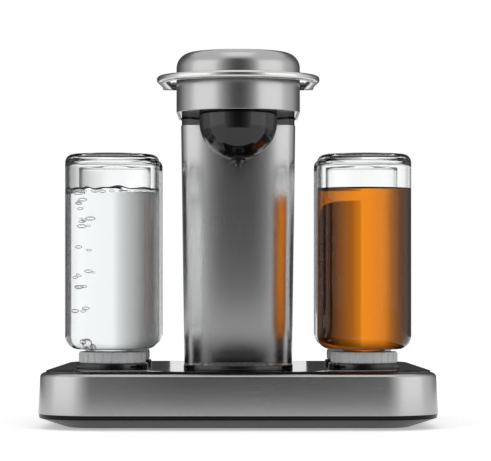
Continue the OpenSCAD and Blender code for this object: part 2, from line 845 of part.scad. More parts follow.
// Hose from the tank's port, round the pump, to the selector's rear port
module water_line() {
    color(silicone)
        hose([
            [0, tank_y, dock_foot_z - port_l],
            [0, tank_y, line_z],
            [-40, tank_y - 12, line_z],
            [-54, pump_y, line_z],
            [-46, selector_y + 26, line_z],
            [-rear_port_x, selector_y + 27, port_z],
            [-rear_port_x, selector_y + selector_d / 2 + stub_l, port_z]
        ], line_r);
}

// Selector body: bored block on the pan's floor, with a stub for each hose
module selector_block() {
    color(moulded_black)
        translate([0, selector_y, 0]) difference() {
            union() {
                translate([0, 0, floor_top])
                    rounded_block([selector_w, selector_d, selector_z + selector_h - floor_top], 3);
                for (y = port_ys) translate([0, y - selector_y, port_z])
                    across(stub_r, -block_side - stub_l, block_side + stub_l);
                for (side = [-1, 1]) translate([side * rear_port_x, selector_d / 2 - 1, port_z])
                    rotate([-90, 0, 0]) cylinder(r = stub_r, h = stub_l + 1);
            }
            disc(selector_bore_r, selector_z + 4, selector_z + selector_h + over);
            for (a = [0:72:288]) rotate(a) translate([7, 0]) disc(1.4, selector_z + 1.5, selector_z + 5);
        }
}

// Port disc with a crescent channel, turned by a keyed stem
module selector_rotor() {
    low = selector_z + 4.1;
    color(silicone)
        translate([0, selector_y]) difference() {
            union() {
                disc(selector_bore_r - running_gap, low, low + 8);
                disc(2.6, low + 7, selector_z + selector_h + 3);
            }
            translate([7, 0]) disc(1.4, low - over, low + 3);
            translate([0, 0, low - over]) rotate_extrude(angle = 60) translate([5.6, 0]) square([2.8, 2.6]);
        }
}

// Stepper can on the block, with its mounting ears
module selector_motor() {
    low = selector_z + selector_h;
    color(steel)
        translate([0, selector_y]) difference() {
            union() {
                disc(13.5, low, low + 16);
                translate([0, 0, low]) linear_extrude(1.2) rounded_rect(40, 8, 3.9);
                translate([-6, 10, low + 2]) cube([12, 6, 10]);
            }
            disc(2.6 + running_gap, low - over, low + 4);
            for (x = [-17, 17]) translate([x, 0]) disc(1.6, low - over, low + 2);
        }
}

// Motor and gearbox along X, in a saddle on the pan's floor
module pump_motor() {
    r = 13.5;
    color(steel)
        translate([0, pump_y, pump_z]) {
            across(r, pump_x - 42, pump_x - 12);
            across(r - 2.5, pump_x - 12, pump_x);
            across(5, pump_x - 45, pump_x - 42);
            across(shaft_r, pump_x - 1, pump_x + 14);
            translate([pump_x - 38, -9, floor_top - pump_z]) cube([22, 18, pump_z - floor_top - r + 4]);
        }
}

// Pump head: a full back plate, an arch over the upper half that the tube bears on, and a foot
module pump_housing() {
    back_t = 4;
    below = pump_r + 2;
    color(moulded_black)
        translate([0, pump_y, pump_z]) difference() {
            union() {
                difference() {
                    across(pump_r + 0.3, pump_x, pump_x + pump_l);
                    across(tube_race + tube_r + 0.1, pump_x + back_t, pump_x + pump_l + over);
                    translate([pump_x + back_t, -below, -below]) cube([pump_l, 2 * below, below]);
                }
                translate([pump_x, -12, floor_top - pump_z]) cube([pump_l, 24, 6]);
            }
            across(shaft_r + running_gap, pump_x - over, pump_x + back_t + over);
        }
}

// Rotor: two spiders joined by three rollers on their pins
module pump_rotor() {
    x0 = pump_x + 5.3;
    x1 = pump_x + pump_l - 2;
    shaft_end = x0 + 9;
    color(clear_plastic)
        translate([0, pump_y, pump_z]) difference() {
            union() {
                across(3.6, x0, x1);
                for (x = [x0, x1 - cheek_t]) across(cheek_r, x, x + cheek_t);
                for (a = [0, 120, 240]) rotate([a, 0, 0]) translate([0, 0, roller_orbit]) {
                    across(2.4, x0 + 1, x1 - 1);
                    across(roller_r, x0 + cheek_t + 0.4, x1 - cheek_t - 0.4);
                }
            }
            across(shaft_r + running_gap, x0 - over, shaft_end);
        }
}

// Soft tube from the selector's outlet, over the rollers and down to the delivery hose
module pump_tube() {
    over_top = [for (a = [0:15:180]) [tube_x, pump_y - tube_race * cos(a), pump_z + tube_race * sin(a)]];
    out_y = selector_y + selector_d / 2;
    color(silicone)
        hose(concat(
            [[rear_port_x, out_y + stub_l + 0.4, port_z], [tube_x, pump_y - tube_race, port_z]],
            over_top,
            [[tube_x, pump_y + tube_race, pump_z - 8]]
        ), tube_r, 3);
}

// Hose from the pump up inside the column, over into the head and to the bowl's inlet
module delivery_line() {
    far_y = pump_y + tube_race;
    low = pump_z - 14;
    rise_x = 20;
    head_y = spout_y + bowl_r;
    line_top = head_z + 12;
    color(silicone)
        hose([
            [tube_x, far_y, pump_z - 8], [tube_x, far_y, low], [tube_x + 14, far_y + 6, low],
            [tube_x + 22, far_y - 8, low + 4], [tube_x + 22, column_y + 12, pump_z + 4],
            [rise_x, column_y, deck_top - 2], [rise_x, column_y, line_top], [rise_x, head_y + 24, line_top],
            [0, head_y + 14, line_top], [0, head_y + 3, line_top]
        ], line_r);
}

// ---- Column ----

spine_split_y = column_y + 9;
// Tapering metal sleeve round the column's front and sides
module column_sleeve() {
    color(gunmetal)
        difference() {
            loft([[deck_top, column_plan(column_foot, 0)], [column_top, column_plan(column_head, 0)]]);
            loft([
                [deck_top - over, column_plan(column_half(deck_top - over), sleeve_wall)],
                [column_top + over, column_plan(column_half(column_top + over), sleeve_wall)]
            ]);
            translate([-100, spine_split_y, 0]) cube([200, 100, column_top + over]);
        }
}

// Inner frame: fills the sleeve, shows at the back, hollow for hoses and wires
module column_spine() {
    wall = 2.6;
    color(moulded_black)
        difference() {
            union() {
                loft([
                    [deck_top, column_plan(column_foot, sleeve_wall + seat_gap)],
                    [column_top, column_plan(column_head, sleeve_wall + seat_gap)]
                ]);
                difference() {
                    loft([[deck_top, column_plan(column_foot, 0)], [column_top, column_plan(column_head, 0)]]);
                    translate([-100, spine_split_y + seat_gap - 200, 0]) cube([200, 200, column_top + over]);
                }
            }
            loft([
                [deck_top - over, column_plan(column_half(deck_top - over), sleeve_wall + seat_gap + wall)],
                [column_top - 3, column_plan(column_half(column_top - 3), sleeve_wall + seat_gap + wall)]
            ]);
            translate([0, column_y, column_top - 5]) linear_extrude(10) rounded_rect(60, 20, 5);
        }
}

// ---- Head ----

head_back = column_y + column_d / 2 - 2;
head_corner_r = 18;
head_wall = 1.6;
step_y = -17;
step_z = head_top - 5.2;
// The head in plan: a round front, straight sides and rounded rear corners
module head_outline(inset) {
    r = head_r - inset;
    translate([0, spout_y]) circle(r = r);
    translate([-r, spout_y]) square([2 * r, head_back - head_corner_r - spout_y]);
    translate([head_corner_r - head_r, head_back - head_corner_r - over])
        square([2 * (head_r - head_corner_r), head_corner_r + over - inset]);
    for (side = [-1, 1]) translate([side * (head_r - head_corner_r), head_back - head_corner_r])
        intersection() {
            circle(r = head_corner_r - inset);
            translate([side > 0 ? 0 : -head_corner_r, 0]) square([head_corner_r, head_corner_r]);
        }
}

// Clears the room behind the lid, where the hinge stands on a lower step
module rear_step() {
    translate([-100, step_y, step_z]) cube([200, 200, 60]);
}

// Metal band round the head's front and sides
module head_band() {
    color(gunmetal)
        difference() {
            translate([0, 0, head_z]) linear_extrude(head_h) head_outline(0);
            translate([0, 0, head_z - over]) linear_extrude(head_h + 2 * over) head_outline(head_wall);
            translate([-100, spine_split_y, 0]) cube([200, 100, head_top + over]);
            rear_step();
        }
}

bowl_flange_r = bowl_r + 5;
bowl_flange_t = 2;
// Black frame in the band: underside plate, top plate, a hollow between them and the neck on the column
module head_frame() {
    plate = 2.5;
    low = head_z + 1;
    inset = head_wall + seat_gap;
    color(gloss_black)
        difference() {
            union() {
                translate([0, 0, low]) linear_extrude(head_top - low) head_outline(inset);
                difference() {
                    translate([0, 0, head_z]) linear_extrude(head_h) head_outline(0);
                    translate([-100, spine_split_y + seat_gap - 200, 0]) cube([200, 200, head_top + over]);
                }
                translate([0, 0, column_top]) linear_extrude(low - column_top + 0.5)
                    polygon(column_plan(column_head, 0.6));
            }
            translate([0, 0, low + plate])
                linear_extrude(step_z - plate - low - plate) head_outline(inset + plate);
            translate([0, spout_y]) disc(bowl_r + 0.2, low - over, head_top + over);
            translate([0, spout_y]) disc(bowl_flange_r + seat_gap, head_top - bowl_flange_t, head_top + over);
            translate([0, spout_y]) disc(bowl_flange_r - 2, step_z - plate - over, head_top);
            translate([0, column_y, column_top - over]) linear_extrude(16) rounded_rect(56, 18, 4);
            rear_step();
        }
}

// Capsule bowl: straight wall, round bottom, flange in the head's top, inlet stub at the back
module capsule_bowl() {
    color(gloss_black)
        translate([0, spout_y]) difference() {
            union() {
                disc(bowl_flange_r, head_top - bowl_flange_t, head_top);
                disc(bowl_r, bowl_z, head_top - 0.5);
                translate([0, 0, bowl_z]) sphere(r = bowl_r);
                translate([0, bowl_r - 1, head_z + 12]) rotate([-90, 0, 0]) cylinder(r = stub_r, h = 4);
            }
            disc(bowl_r - bowl_wall, bowl_z, head_top + over);
            translate([0, 0, bowl_z]) sphere(r = bowl_r - bowl_wall);
            disc(3.2, bowl_z - bowl_r - over, bowl_z);
        }
}

// Spout: disc under the bowl, nozzle below, plug in the bowl's drain
module spout() {
    base = bowl_z - bowl_r;
    disc_t = 2.6;
    color(gloss_black)
        translate([0, spout_y]) difference() {
            union() {
                difference() {
                    rotate_extrude() turned_section(spout_disc_r, base - disc_t, base + 1, 0.6, 0.2);
                    translate([0, 0, bowl_z]) sphere(r = bowl_r + 0.02);
                }
                disc(3.2 - running_gap, base - 1, base + bowl_wall + 0.6);
                disc(spout_r, base - disc_t - 2.6, base - disc_t + 0.2);
            }
            disc(spout_r - 1.2, base - 9, base + 6);
        }
}

// Three-edged hollow blade on a small plate over the drain
module capsule_piercer() {
    base = bowl_z - bowl_r + bowl_wall;
    color(steel)
        translate([0, spout_y]) difference() {
            union() {
                disc(7, base + 1.2, base + 2.6);
                translate([0, 0, base + 2.4]) cylinder(r1 = 3, r2 = 0.6, h = 11);
                for (a = [0, 120, 240]) rotate(a) translate([6, 0]) disc(0.8, base + 0.8, base + 1.4);
            }
            for (a = [0, 90]) rotate(a) translate([-0.7, -8, base + 6]) cube([1.4, 16, 3]);
            disc(1.2, base - 2, base + 9);
        }
}

// ---- Hinge, handle and lid ----

bracket_half = head_r + 5.6;
bracket_r = 3.5;
damper_half = 17;
lug_x0 = bracket_half + free_gap;
lug_x1 = lug_x0 + 7.2;
lug_front_y = -12;
// Hinge bracket: two barrels on webs that stand on the head's rear step
module hinge_bracket() {
    color(gunmetal)
        translate([0, 0, hinge_z]) difference() {
            union() {
                for (side = [-1, 1]) {
                    across(bracket_r, side > 0 ? damper_half : -bracket_half,
                        side > 0 ? bracket_half : -damper_half);
                    translate([side > 0 ? damper_half : 6 - head_r, -bracket_r, step_z - hinge_z])
                        cube([head_r - 6 - damper_half, 2 * bracket_r, hinge_z - step_z]);
                    translate([side > 0 ? damper_half : 6 - head_r, -9, step_z - hinge_z])
                        cube([head_r - 6 - damper_half, 18, 2]);
                }
            }
            across(hinge_pin_r + running_gap, -bracket_half - over, bracket_half + over);
        }
}

// Rotary damper that slows the lid: a sealed barrel on the pin, between the bracket's halves
module hinge_damper() {
    r = hinge_z - step_z;
    color(moulded_black)
        translate([0, 0, hinge_z]) difference() {
            union() {
                across(r - 0.6, 0.2 - damper_half, damper_half - 0.2);
                translate([-10, -3, -r]) cube([20, 6, 4]);
            }
            across(hinge_pin_r + running_gap, -damper_half, damper_half);
        }
}

module hinge_pin() {
    color(steel) translate([0, 0, hinge_z]) across(hinge_pin_r, 0.4 - lug_x1, lug_x1 - 0.4);
}

// Dark lugs that join the handle's arms to the pin
module handle_lugs() {
    r = 3.3;
    color(gunmetal)
        for (side = [-1, 1]) translate([0, 0, hinge_z]) difference() {
            union() {
                across(r, side > 0 ? lug_x0 : -lug_x1, side > 0 ? lug_x1 : -lug_x0);
                translate([side > 0 ? lug_x0 : -lug_x1, lug_front_y, handle_z + 0.4 - hinge_z])
                    cube([lug_x1 - lug_x0, -lug_front_y, handle_t - 0.8]);
            }
            across(hinge_pin_r + press_gap, 0.4 - lug_x1, lug_x1 - 0.4);
        }
}

web_t = 2.6;
web_inner_r = head_r - 1.4;
// Section of the handle's bar, with fully rounded edges, at its distance from the bowl's axis
module bar_section(inset = 0) {
    r = handle_t / 2 - 0.35 - inset;
    inner = handle_r - handle_w + inset;
    outer = handle_r - inset;
    low = handle_z + inset;
    high = handle_top - inset;
    translate([inner + r, low]) square([outer - inner - 2 * r, high - low]);
    translate([inner, low + r]) square([outer - inner, high - low - 2 * r]);
    for (x = [inner + r, outer - r], z = [low + r, high - r]) translate([x, z]) circle(r = r);
}

// Ring handle: a bar round the lid's front on a thin web, and two arms that draw in to the hinge
module ring_handle() {
    arm_l = -spout_y - handle_r * sin(arm_angle) + 8;
    arm_overlap = 1; // the arms start inside the bar's curved part
    arm_inset = 0.02; // so that no face of an arm lies on a face of the bar
    color(satin)
        difference() {
            union() {
                translate([0, spout_y]) {
                    rotate([0, 0, 180 - arm_angle]) rotate_extrude(angle = 180 + 2 * arm_angle) bar_section();
                    rotate([0, 0, 180]) rotate_extrude(angle = 180)
                        translate([web_inner_r, handle_top - web_t])
                            square([handle_r - handle_w / 2 - web_inner_r, web_t]);
                }
                for (side = [0, 1]) mirror([side, 0, 0]) translate([0, spout_y]) rotate([0, 0, arm_angle])
                    rotate([90, 0, 0]) translate([0, 0, -arm_l]) linear_extrude(arm_l + arm_overlap)
                        bar_section(arm_inset);
            }
            translate([-100, lug_front_y, handle_z - over]) cube([200, 60, handle_t + 2 * over]);
        }
}

// Half-section of the dome: upright rim, rounded edge and a shallow crown
module dome_section(inset) {
    r = head_r - inset;
    edge = lid_edge_r - inset;
    flat_r = r - edge;
    edge_z = lid_top - crown_rise - lid_edge_r;
    crown_r = (pow(flat_r, 2) + pow(crown_rise, 2)) / (2 * crown_rise);
    translate([0, handle_top - inset]) square([r, edge_z - handle_top + inset]);
    translate([0, edge_z - 0.01]) square([flat_r, edge + 0.01]);
    intersection() {
        translate([flat_r, edge_z]) circle(r = edge);
        translate([flat_r, edge_z - 0.01]) square([edge, edge + 0.01]);
    }
    intersection() {
        translate([0, edge_z + edge + crown_rise - crown_r]) circle(r = crown_r, $fn = 720);
        translate([0, edge_z + edge - 0.01]) square([flat_r, crown_rise + 1]);
    }
}

module lid_dome() {
    color(gunmetal)
        translate([0, spout_y]) rotate_extrude() difference() {
            dome_section(0);
            dome_section(lid_wall);
        }
}

press_r = bowl_r - bowl_wall - 1;
gasket_r = bowl_r + 1;
liner_z = head_top + 1;
// Liner that closes the dome: plate, skirt, cross ribs above and the pad that presses the capsule
module lid_liner() {
    plate_r = web_inner_r - 0.3;
    skirt_r = head_r - lid_wall - 0.3;
    color(moulded_black)
        translate([0, spout_y]) difference() {
            union() {
                disc(plate_r, liner_z, handle_top);
                disc(skirt_r, liner_z, handle_top + 1);
                tube(skirt_r, skirt_r - 2, handle_top, handle_top + 5);
                disc(press_r, head_top - 4, liner_z + 0.5);
                for (a = [0, 90]) rotate(a)
                    translate([-skirt_r + 1, -1, handle_top + 0.5]) cube([2 * skirt_r - 2, 2, 4.5]);
            }
            disc(press_r - 4, head_top - 4 - over, head_top - 2);
            tube(gasket_r + 1.2, gasket_r - 1.2, liner_z - over, liner_z + 0.8);
        }
}

// Ring seal in the liner's groove, over the bowl's flange
module lid_gasket() {
    color(soft_rubber)
        translate([0, spout_y]) tube(gasket_r + 1.1, gasket_r - 1.1, head_top + 0.3, liner_z + 0.8);
}

base_pan();
rubber_feet();
base_screws();
base_band();
deck();
display_lens();
display_board();
main_board();
power_supply();
mains_inlet();
power_rocker();
drip_tray();
drip_grate();
dock_front_left();
dock_front_right();
dock_rear_left();
dock_rear_right();
dock_probes();
dock_seals();
bottle_front_left();
bottle_front_right();
bottle_rear_left();
bottle_rear_right();
cap_front_left();
cap_front_right();
cap_rear_left();
cap_rear_right();
valve_front_left();
valve_front_right();
valve_rear_left();
valve_rear_right();
water_tank();
tank_lid();
tank_valve();
tank_dock();
spirit_lines();
water_line();
selector_block();
selector_rotor();
selector_motor();
pump_motor();
pump_housing();
pump_rotor();
pump_tube();
delivery_line();
column_sleeve();
column_spine();
head_band();
head_frame();
capsule_bowl();
capsule_piercer();
spout();
hinge_bracket();
hinge_damper();
hinge_pin();
handle_lugs();
ring_handle();
lid_dome();
lid_liner();
lid_gasket();
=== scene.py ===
"""Looks of the countertop cocktail dispenser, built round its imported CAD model.

Every length is in metres, in the CAD model's frame: +Z up, -Y the front, origin on the counter.
Each sub-assembly is a class that builds its surfaces with numpy and dresses them; each finish is a
small frozen dataclass that writes its own shader nodes.
"""

import json
import logging
import math
from collections.abc import Callable, Sequence
from dataclasses import dataclass
from enum import Enum

import bmesh
import bpy
import numpy as np
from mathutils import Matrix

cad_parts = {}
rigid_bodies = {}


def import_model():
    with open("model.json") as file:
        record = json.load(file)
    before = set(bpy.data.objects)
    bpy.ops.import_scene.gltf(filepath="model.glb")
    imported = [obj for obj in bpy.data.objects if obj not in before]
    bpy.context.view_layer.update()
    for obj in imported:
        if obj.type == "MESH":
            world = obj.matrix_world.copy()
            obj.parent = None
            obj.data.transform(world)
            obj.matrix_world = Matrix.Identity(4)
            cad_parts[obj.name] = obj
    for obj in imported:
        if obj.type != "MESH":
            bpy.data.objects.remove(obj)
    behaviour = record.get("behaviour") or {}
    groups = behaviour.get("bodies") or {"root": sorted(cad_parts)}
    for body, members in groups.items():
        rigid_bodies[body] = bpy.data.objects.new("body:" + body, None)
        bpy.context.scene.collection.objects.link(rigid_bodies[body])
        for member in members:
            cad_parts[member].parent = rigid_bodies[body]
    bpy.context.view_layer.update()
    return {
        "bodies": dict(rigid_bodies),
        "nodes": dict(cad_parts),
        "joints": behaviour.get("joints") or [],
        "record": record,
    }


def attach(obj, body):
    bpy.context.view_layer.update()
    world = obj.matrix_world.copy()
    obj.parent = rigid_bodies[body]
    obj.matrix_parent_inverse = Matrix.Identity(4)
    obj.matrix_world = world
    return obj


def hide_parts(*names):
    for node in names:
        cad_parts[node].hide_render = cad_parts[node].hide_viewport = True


LOG = logging.getLogger("dispenser")
MM = 0.001
PLACES = ("front_left", "front_right", "rear_left", "rear_right")
Array = np.ndarray


# ---------------------------------------------------------------- shader graph


class Value:
    """A shader socket whose operators add Math nodes."""

    def __init__(self, graph: "Graph", socket: bpy.types.NodeSocket) -> None:
        """Keeps the graph that owns the socket."""
        self.graph = graph
        self.socket = socket

    def _maths(self, operation: str, first: "Value | float", second: "Value | float") -> "Value":
        """Adds one Math node.

        Args:
            operation: Blender's name of the operation.
            first: left operand.
            second: right operand.

        Returns:
            The result's socket.
        """
        return self.graph.node("ShaderNodeMath", {"operation": operation}, {0: first, 1: second})

    def __add__(self, other: "Value | float") -> "Value":
        """Sum."""
        return self._maths("ADD", self, other)

    def __sub__(self, other: "Value | float") -> "Value":
        """Difference."""
        return self._maths("SUBTRACT", self, other)

    def __mul__(self, other: "Value | float") -> "Value":
        """Product."""
        return self._maths("MULTIPLY", self, other)

    def __pow__(self, other: float) -> "Value":
        """Power."""
        return self._maths("POWER", self, other)

    def exponential(self) -> "Value":
        """The number e to the power of this value."""
        return self._maths("EXPONENT", self, 0.0)

    def at_most(self, other: "Value | float") -> "Value":
        """The smaller of two values."""
        return self._maths("MINIMUM", self, other)

    def at_least(self, other: "Value | float") -> "Value":
        """The larger of two values."""
        return self._maths("MAXIMUM", self, other)


class Graph:
    """The node tree of one material or world, started empty."""

    def __init__(self, tree: bpy.types.NodeTree) -> None:
        """Clears the tree."""
        self.tree = tree
        tree.nodes.clear()

    def node(self, kind: str, settings: dict | None = None, inputs: dict | None = None,
             output: int | str = 0) -> Value:
        """Adds one node of any type.

        Args:
            kind: the node's type name.
            settings: properties set first; "stops" holds a ramp's (position, colour) pairs.
            inputs: socket name or index to a number, a colour or a Value.
            output: name or index of the output wanted.

        Returns:
            That output.
        """
        made = self.tree.nodes.new(kind)
        for name, setting in (settings or {}).items():
            if name == "stops":
                ramp = made.color_ramp
                while len(ramp.elements) < len(setting):
                    ramp.elements.new(0.5)
                for element, (position, colour) in zip(ramp.elements, setting, strict=True):
                    element.position = position
                    element.color = (*colour, 1.0) if len(colour) == 3 else colour
            else:
                setattr(made, name, setting)
        for name, given in (inputs or {}).items():
            socket = made.inputs[name]
            if isinstance(given, Value):
                self.tree.links.new(given.socket, socket)
            elif isinstance(given, tuple) and len(given) == 3 and socket.type == "RGBA":
                socket.default_value = (*given, 1.0)
            else:
                socket.default_value = given
        return Value(self, made.outputs[output] if len(made.outputs) else None)

    def blend(self, factor: "Value | float", first: "Value | tuple", second: "Value | tuple") -> Value:
        """Mixes two colours by a factor.

        Args:
            factor: 0 gives the first colour, 1 the second.
            first: a colour.
            second: a colour.

        Returns:
            The mixed colour.
        """
        return self.node("ShaderNodeMix", {"data_type": "RGBA"}, {0: factor, 6: first, 7: second}, 2)

    def place(self, scale: tuple[float, float, float] = (1.0, 1.0, 1.0)) -> Value:
        """Object coordinates, stretched by a Mapping node.

        Args:
            scale: factor for each axis.

        Returns:
            The vector.
        """
        where = self.node("ShaderNodeTexCoord", output="Object")
        return self.node("ShaderNodeMapping", inputs={"Vector": where, "Scale": scale})

    def noise(self, scale: float, detail: float = 3.0, vector: Value | None = None) -> Value:
        """Fractal noise between 0 and 1.

        Args:
            scale: cells in a metre.
            detail: octaves.
            vector: the place, or None for Object coordinates.

        Returns:
            The noise's value.
        """
        where = vector or self.node("ShaderNodeTexCoord", output="Object")
        return self.node("ShaderNodeTexNoise", None, {"Vector": where, "Scale": scale, "Detail": detail})

    def bump(self, height: Value, strength: float, distance: float) -> Value:
        """A normal bent by a height.

        Args:
            height: the relief.
            strength: share of the relief that shows.
            distance: depth of the relief in metres.

        Returns:
            The normal.
        """
        return self.node("ShaderNodeBump", None,
                         {"Height": height, "Strength": strength, "Distance": distance}, "Normal")

    def surface(self, shader: Value) -> None:
        """Sends a shader to the material's output."""
        end = self.tree.nodes.new("ShaderNodeOutputMaterial")
        self.tree.links.new(shader.socket, end.inputs["Surface"])


class Grain(Enum):
    """Which way a metal's fine finishing lines run, as the stretch of the noise on each axis."""

    UPRIGHT = (1.0, 1.0, 0.02)
    LEVEL = (0.02, 0.02, 1.0)
    ROUND = (1.0, 1.0, 1.0)


@dataclass(frozen=True)
class Finish:
    """A named surface finish; a subclass writes its shader."""

    name: str

    def shader(self, graph: Graph) -> Value:
        """Builds the surface shader."""
        raise NotImplementedError

    def material(self) -> bpy.types.Material:
        """The finish's material, made the first time it is asked for."""
        label = f"{self.name}_finish"
        known = bpy.data.materials.get(label)
        if known:
            return known
        made = bpy.data.materials.new(label)
        made.use_nodes = True
        graph = Graph(made.node_tree)
        graph.surface(self.shader(graph))
        return made


@dataclass(frozen=True)
class Metal(Finish):
    """Satin metal: fine lines in its relief, slow drifts in its gloss, faint handling marks."""

    tint: tuple[float, float, float] = (0.5, 0.5, 0.5)
    roughness: float = 0.22
    grain: Grain = Grain.UPRIGHT
    relief: float = 0.05

    def shader(self, graph: Graph) -> Value:
        """Principled metal; gloss = base + fine lines + slow drift."""
        lines = graph.noise(1900.0, 2.0, graph.place(self.grain.value))
        drift = graph.noise(14.0, 3.0)
        darker = tuple(0.93 * channel for channel in self.tint)
        colour = graph.blend(drift * 0.6 + lines * 0.4, darker, self.tint)
        gloss = lines * 0.05 + drift * 0.05 + (self.roughness - 0.05)
        return graph.node("ShaderNodeBsdfPrincipled", None, {
            "Base Color": colour, "Metallic": 1.0, "Roughness": gloss,
            "Normal": graph.bump(lines, self.relief, 0.00002),
        })


@dataclass(frozen=True)
class Plastic(Finish):
    """Moulded plastic: a fine grain, a little dust-like drift in the gloss."""

    tint: tuple[float, float, float] = (0.02, 0.02, 0.02)
    roughness: float = 0.4
    grain_scale: float = 2600.0
    relief: float = 0.25
    mirror: float = 0.5

    def shader(self, graph: Graph) -> Value:
        """Principled plastic; gloss = base + grain + drift."""
        grain = graph.noise(self.grain_scale, 2.0)
        drift = graph.noise(22.0, 4.0)
        paler = tuple(channel * 1.25 + 0.002 for channel in self.tint)
        return graph.node("ShaderNodeBsdfPrincipled", None, {
            "Base Color": graph.blend(drift * grain, self.tint, paler),
            "Roughness": drift * 0.06 + grain * 0.04 + (self.roughness - 0.05),
            "Specular IOR Level": self.mirror,
            "Normal": graph.bump(grain, self.relief, 0.00003),
        })


@dataclass(frozen=True)
class Clear(Finish):
    """Clear glass, plastic or spirit: sees through, with painted shade towards its outline that stands in for
    the dark surroundings seen through its edges.
    """

    tint: tuple[float, float, float] = (1.0, 1.0, 1.0)
    # rim is painted shade: the dark edge colour that takes over from the tint towards the outline, standing
    # in for dark surroundings seen through the edge; the next two fields set where that painted shade starts
    # and how fast it deepens.
    rim: tuple[float, float, float] = (0.5, 0.5, 0.5)
    painted_shade_start: float = 0.5
    painted_shade_fade: float = 3.0
    ior: float = 1.45
    roughness: float = 0.0
    mirror: float = 0.5

    def shader(self, graph: Graph) -> Value:
        """Principled transmission; the tint's share is exp(-fade * (facing - start)), with the painted
        shade's fade and start given above; the rest is the rim's painted edge shade.
        """
        facing = graph.node("ShaderNodeLayerWeight", None, {"Blend": 0.5}, "Facing")
        # Share of the tint; the rest of the base colour is painted edge shade.
        unshaded_share = ((facing - self.painted_shade_start).at_least(0.0) * -self.painted_shade_fade).exponential()
        ripple = graph.noise(40.0, 2.0)
        return graph.node("ShaderNodeBsdfPrincipled", None, {
            "Base Color": graph.blend(unshaded_share, self.rim, self.tint),
            "Roughness": ripple * 0.01 + self.roughness,
            "Transmission Weight": 1.0, "IOR": self.ior, "Specular IOR Level": self.mirror,
            "Specular Tint": (2.0 * self.mirror,) * 3,
            "Normal": graph.bump(ripple, 0.06, 0.0003),
        })


@dataclass(frozen=True)
class Bubble(Finish):
    """Gas bubble in liquid: clear in its middle, with painted shade towards its outline where a real bubble
    bends the light away.
    """

    # The tint is painted shade: the dark outline colour of the bubble, mixed with a paler grey by noise.
    tint: tuple[float, float, float] = (0.05, 0.05, 0.055)

    def shader(self, graph: Graph) -> Value:
        """Opacity is 1.5 times the facing term to the power 1.8, at most 1; what shows there is the dark
        tint, painted outline shade.
        """
        facing = graph.node("ShaderNodeLayerWeight", None, {"Blend": 0.5}, "Facing")
        ripple = graph.noise(300.0, 1.0)
        return graph.node("ShaderNodeBsdfPrincipled", None, {
            "Base Color": graph.blend(ripple, self.tint, (0.16, 0.16, 0.165)), "Roughness": 0.05,
            "Alpha": (facing ** 1.8 * 1.5).at_most(1.0),
        })


@dataclass(frozen=True)
class Board(Finish):
    """Circuit board: solder mask with paler copper traces under it."""

    tint: tuple[float, float, float] = (0.01, 0.09, 0.04)

    def shader(self, graph: Graph) -> Value:
        """Bands of a brick pattern stand for the traces."""
        traces = graph.node("ShaderNodeTexBrick", None, {
            "Vector": graph.place((260.0, 260.0, 260.0)), "Scale": 1.0, "Mortar Size": 0.08,
        }, "Fac")
        return graph.node("ShaderNodeBsdfPrincipled", None, {
            "Base Color": graph.blend(traces, self.tint, (0.03, 0.2, 0.09)),
            "Roughness": traces * 0.1 + 0.3, "Normal": graph.bump(traces, 0.3, 0.0001),
        })


GUNMETAL = Metal("gunmetal", (0.42, 0.42, 0.42), 0.26, Grain.UPRIGHT, 0.03)
GUNMETAL_BAND = Metal("gunmetal_band", (0.42, 0.42, 0.42), 0.26, Grain.LEVEL, 0.03)
SATIN = Metal("satin_handle", (0.60, 0.60, 0.59), 0.21, Grain.ROUND, 0.03)
DARK_METAL = Metal("dark_metal", (0.10, 0.10, 0.105), 0.3, Grain.ROUND, 0.05)
STEEL = Metal("bright_steel", (0.66, 0.67, 0.68), 0.2, Grain.ROUND, 0.04)
GLOSS_BLACK = Plastic("gloss_black", (0.003, 0.003, 0.0035), 0.09, 900.0, 0.02)
MOULDED_BLACK = Plastic("moulded_black", (0.012, 0.012, 0.013), 0.42, 2600.0, 0.3)
PAN_BLACK = Plastic("pan_black", (0.004, 0.004, 0.0045), 0.25, 2400.0, 0.1, 0.12)
RUBBER = Plastic("soft_rubber", (0.02, 0.02, 0.02), 0.7, 1800.0, 0.4)
SILICONE = Plastic("silicone", (0.62, 0.60, 0.56), 0.45, 1200.0, 0.15)
# The second colour of each clear finish below is its rim, painted edge shade; the first is the thing's own
# tint.
GLASS = Clear("bottle_glass", (0.985, 0.99, 0.99), (0.03, 0.032, 0.035), 0.6, 6.0, 1.47, 0.0, 0.12)
TANK_PLASTIC = Clear("tank_plastic", (0.90, 0.92, 0.93), (0.35, 0.37, 0.38), 0.2, 2.0, 1.4, 0.03)
CLEAR_SPIRIT = Clear("clear_spirit", (0.97, 0.975, 0.98), (0.06, 0.062, 0.065), 0.12, 2.8, 1.34, 0.0, 0.12)
CAP_PLASTIC = Plastic("cap_plastic", (0.62, 0.63, 0.64), 0.35, 1800.0, 0.2)
AMBER_SPIRIT = Clear("amber_spirit", (0.93, 0.28, 0.015), (0.02, 0.002, 0.0005), 0.0, 7.5, 1.34, 0.0, 0.03)
BUBBLE = Bubble("gas_bubble")
BOARD = Board("circuit_board")


# ---------------------------------------------------------------- surfaces


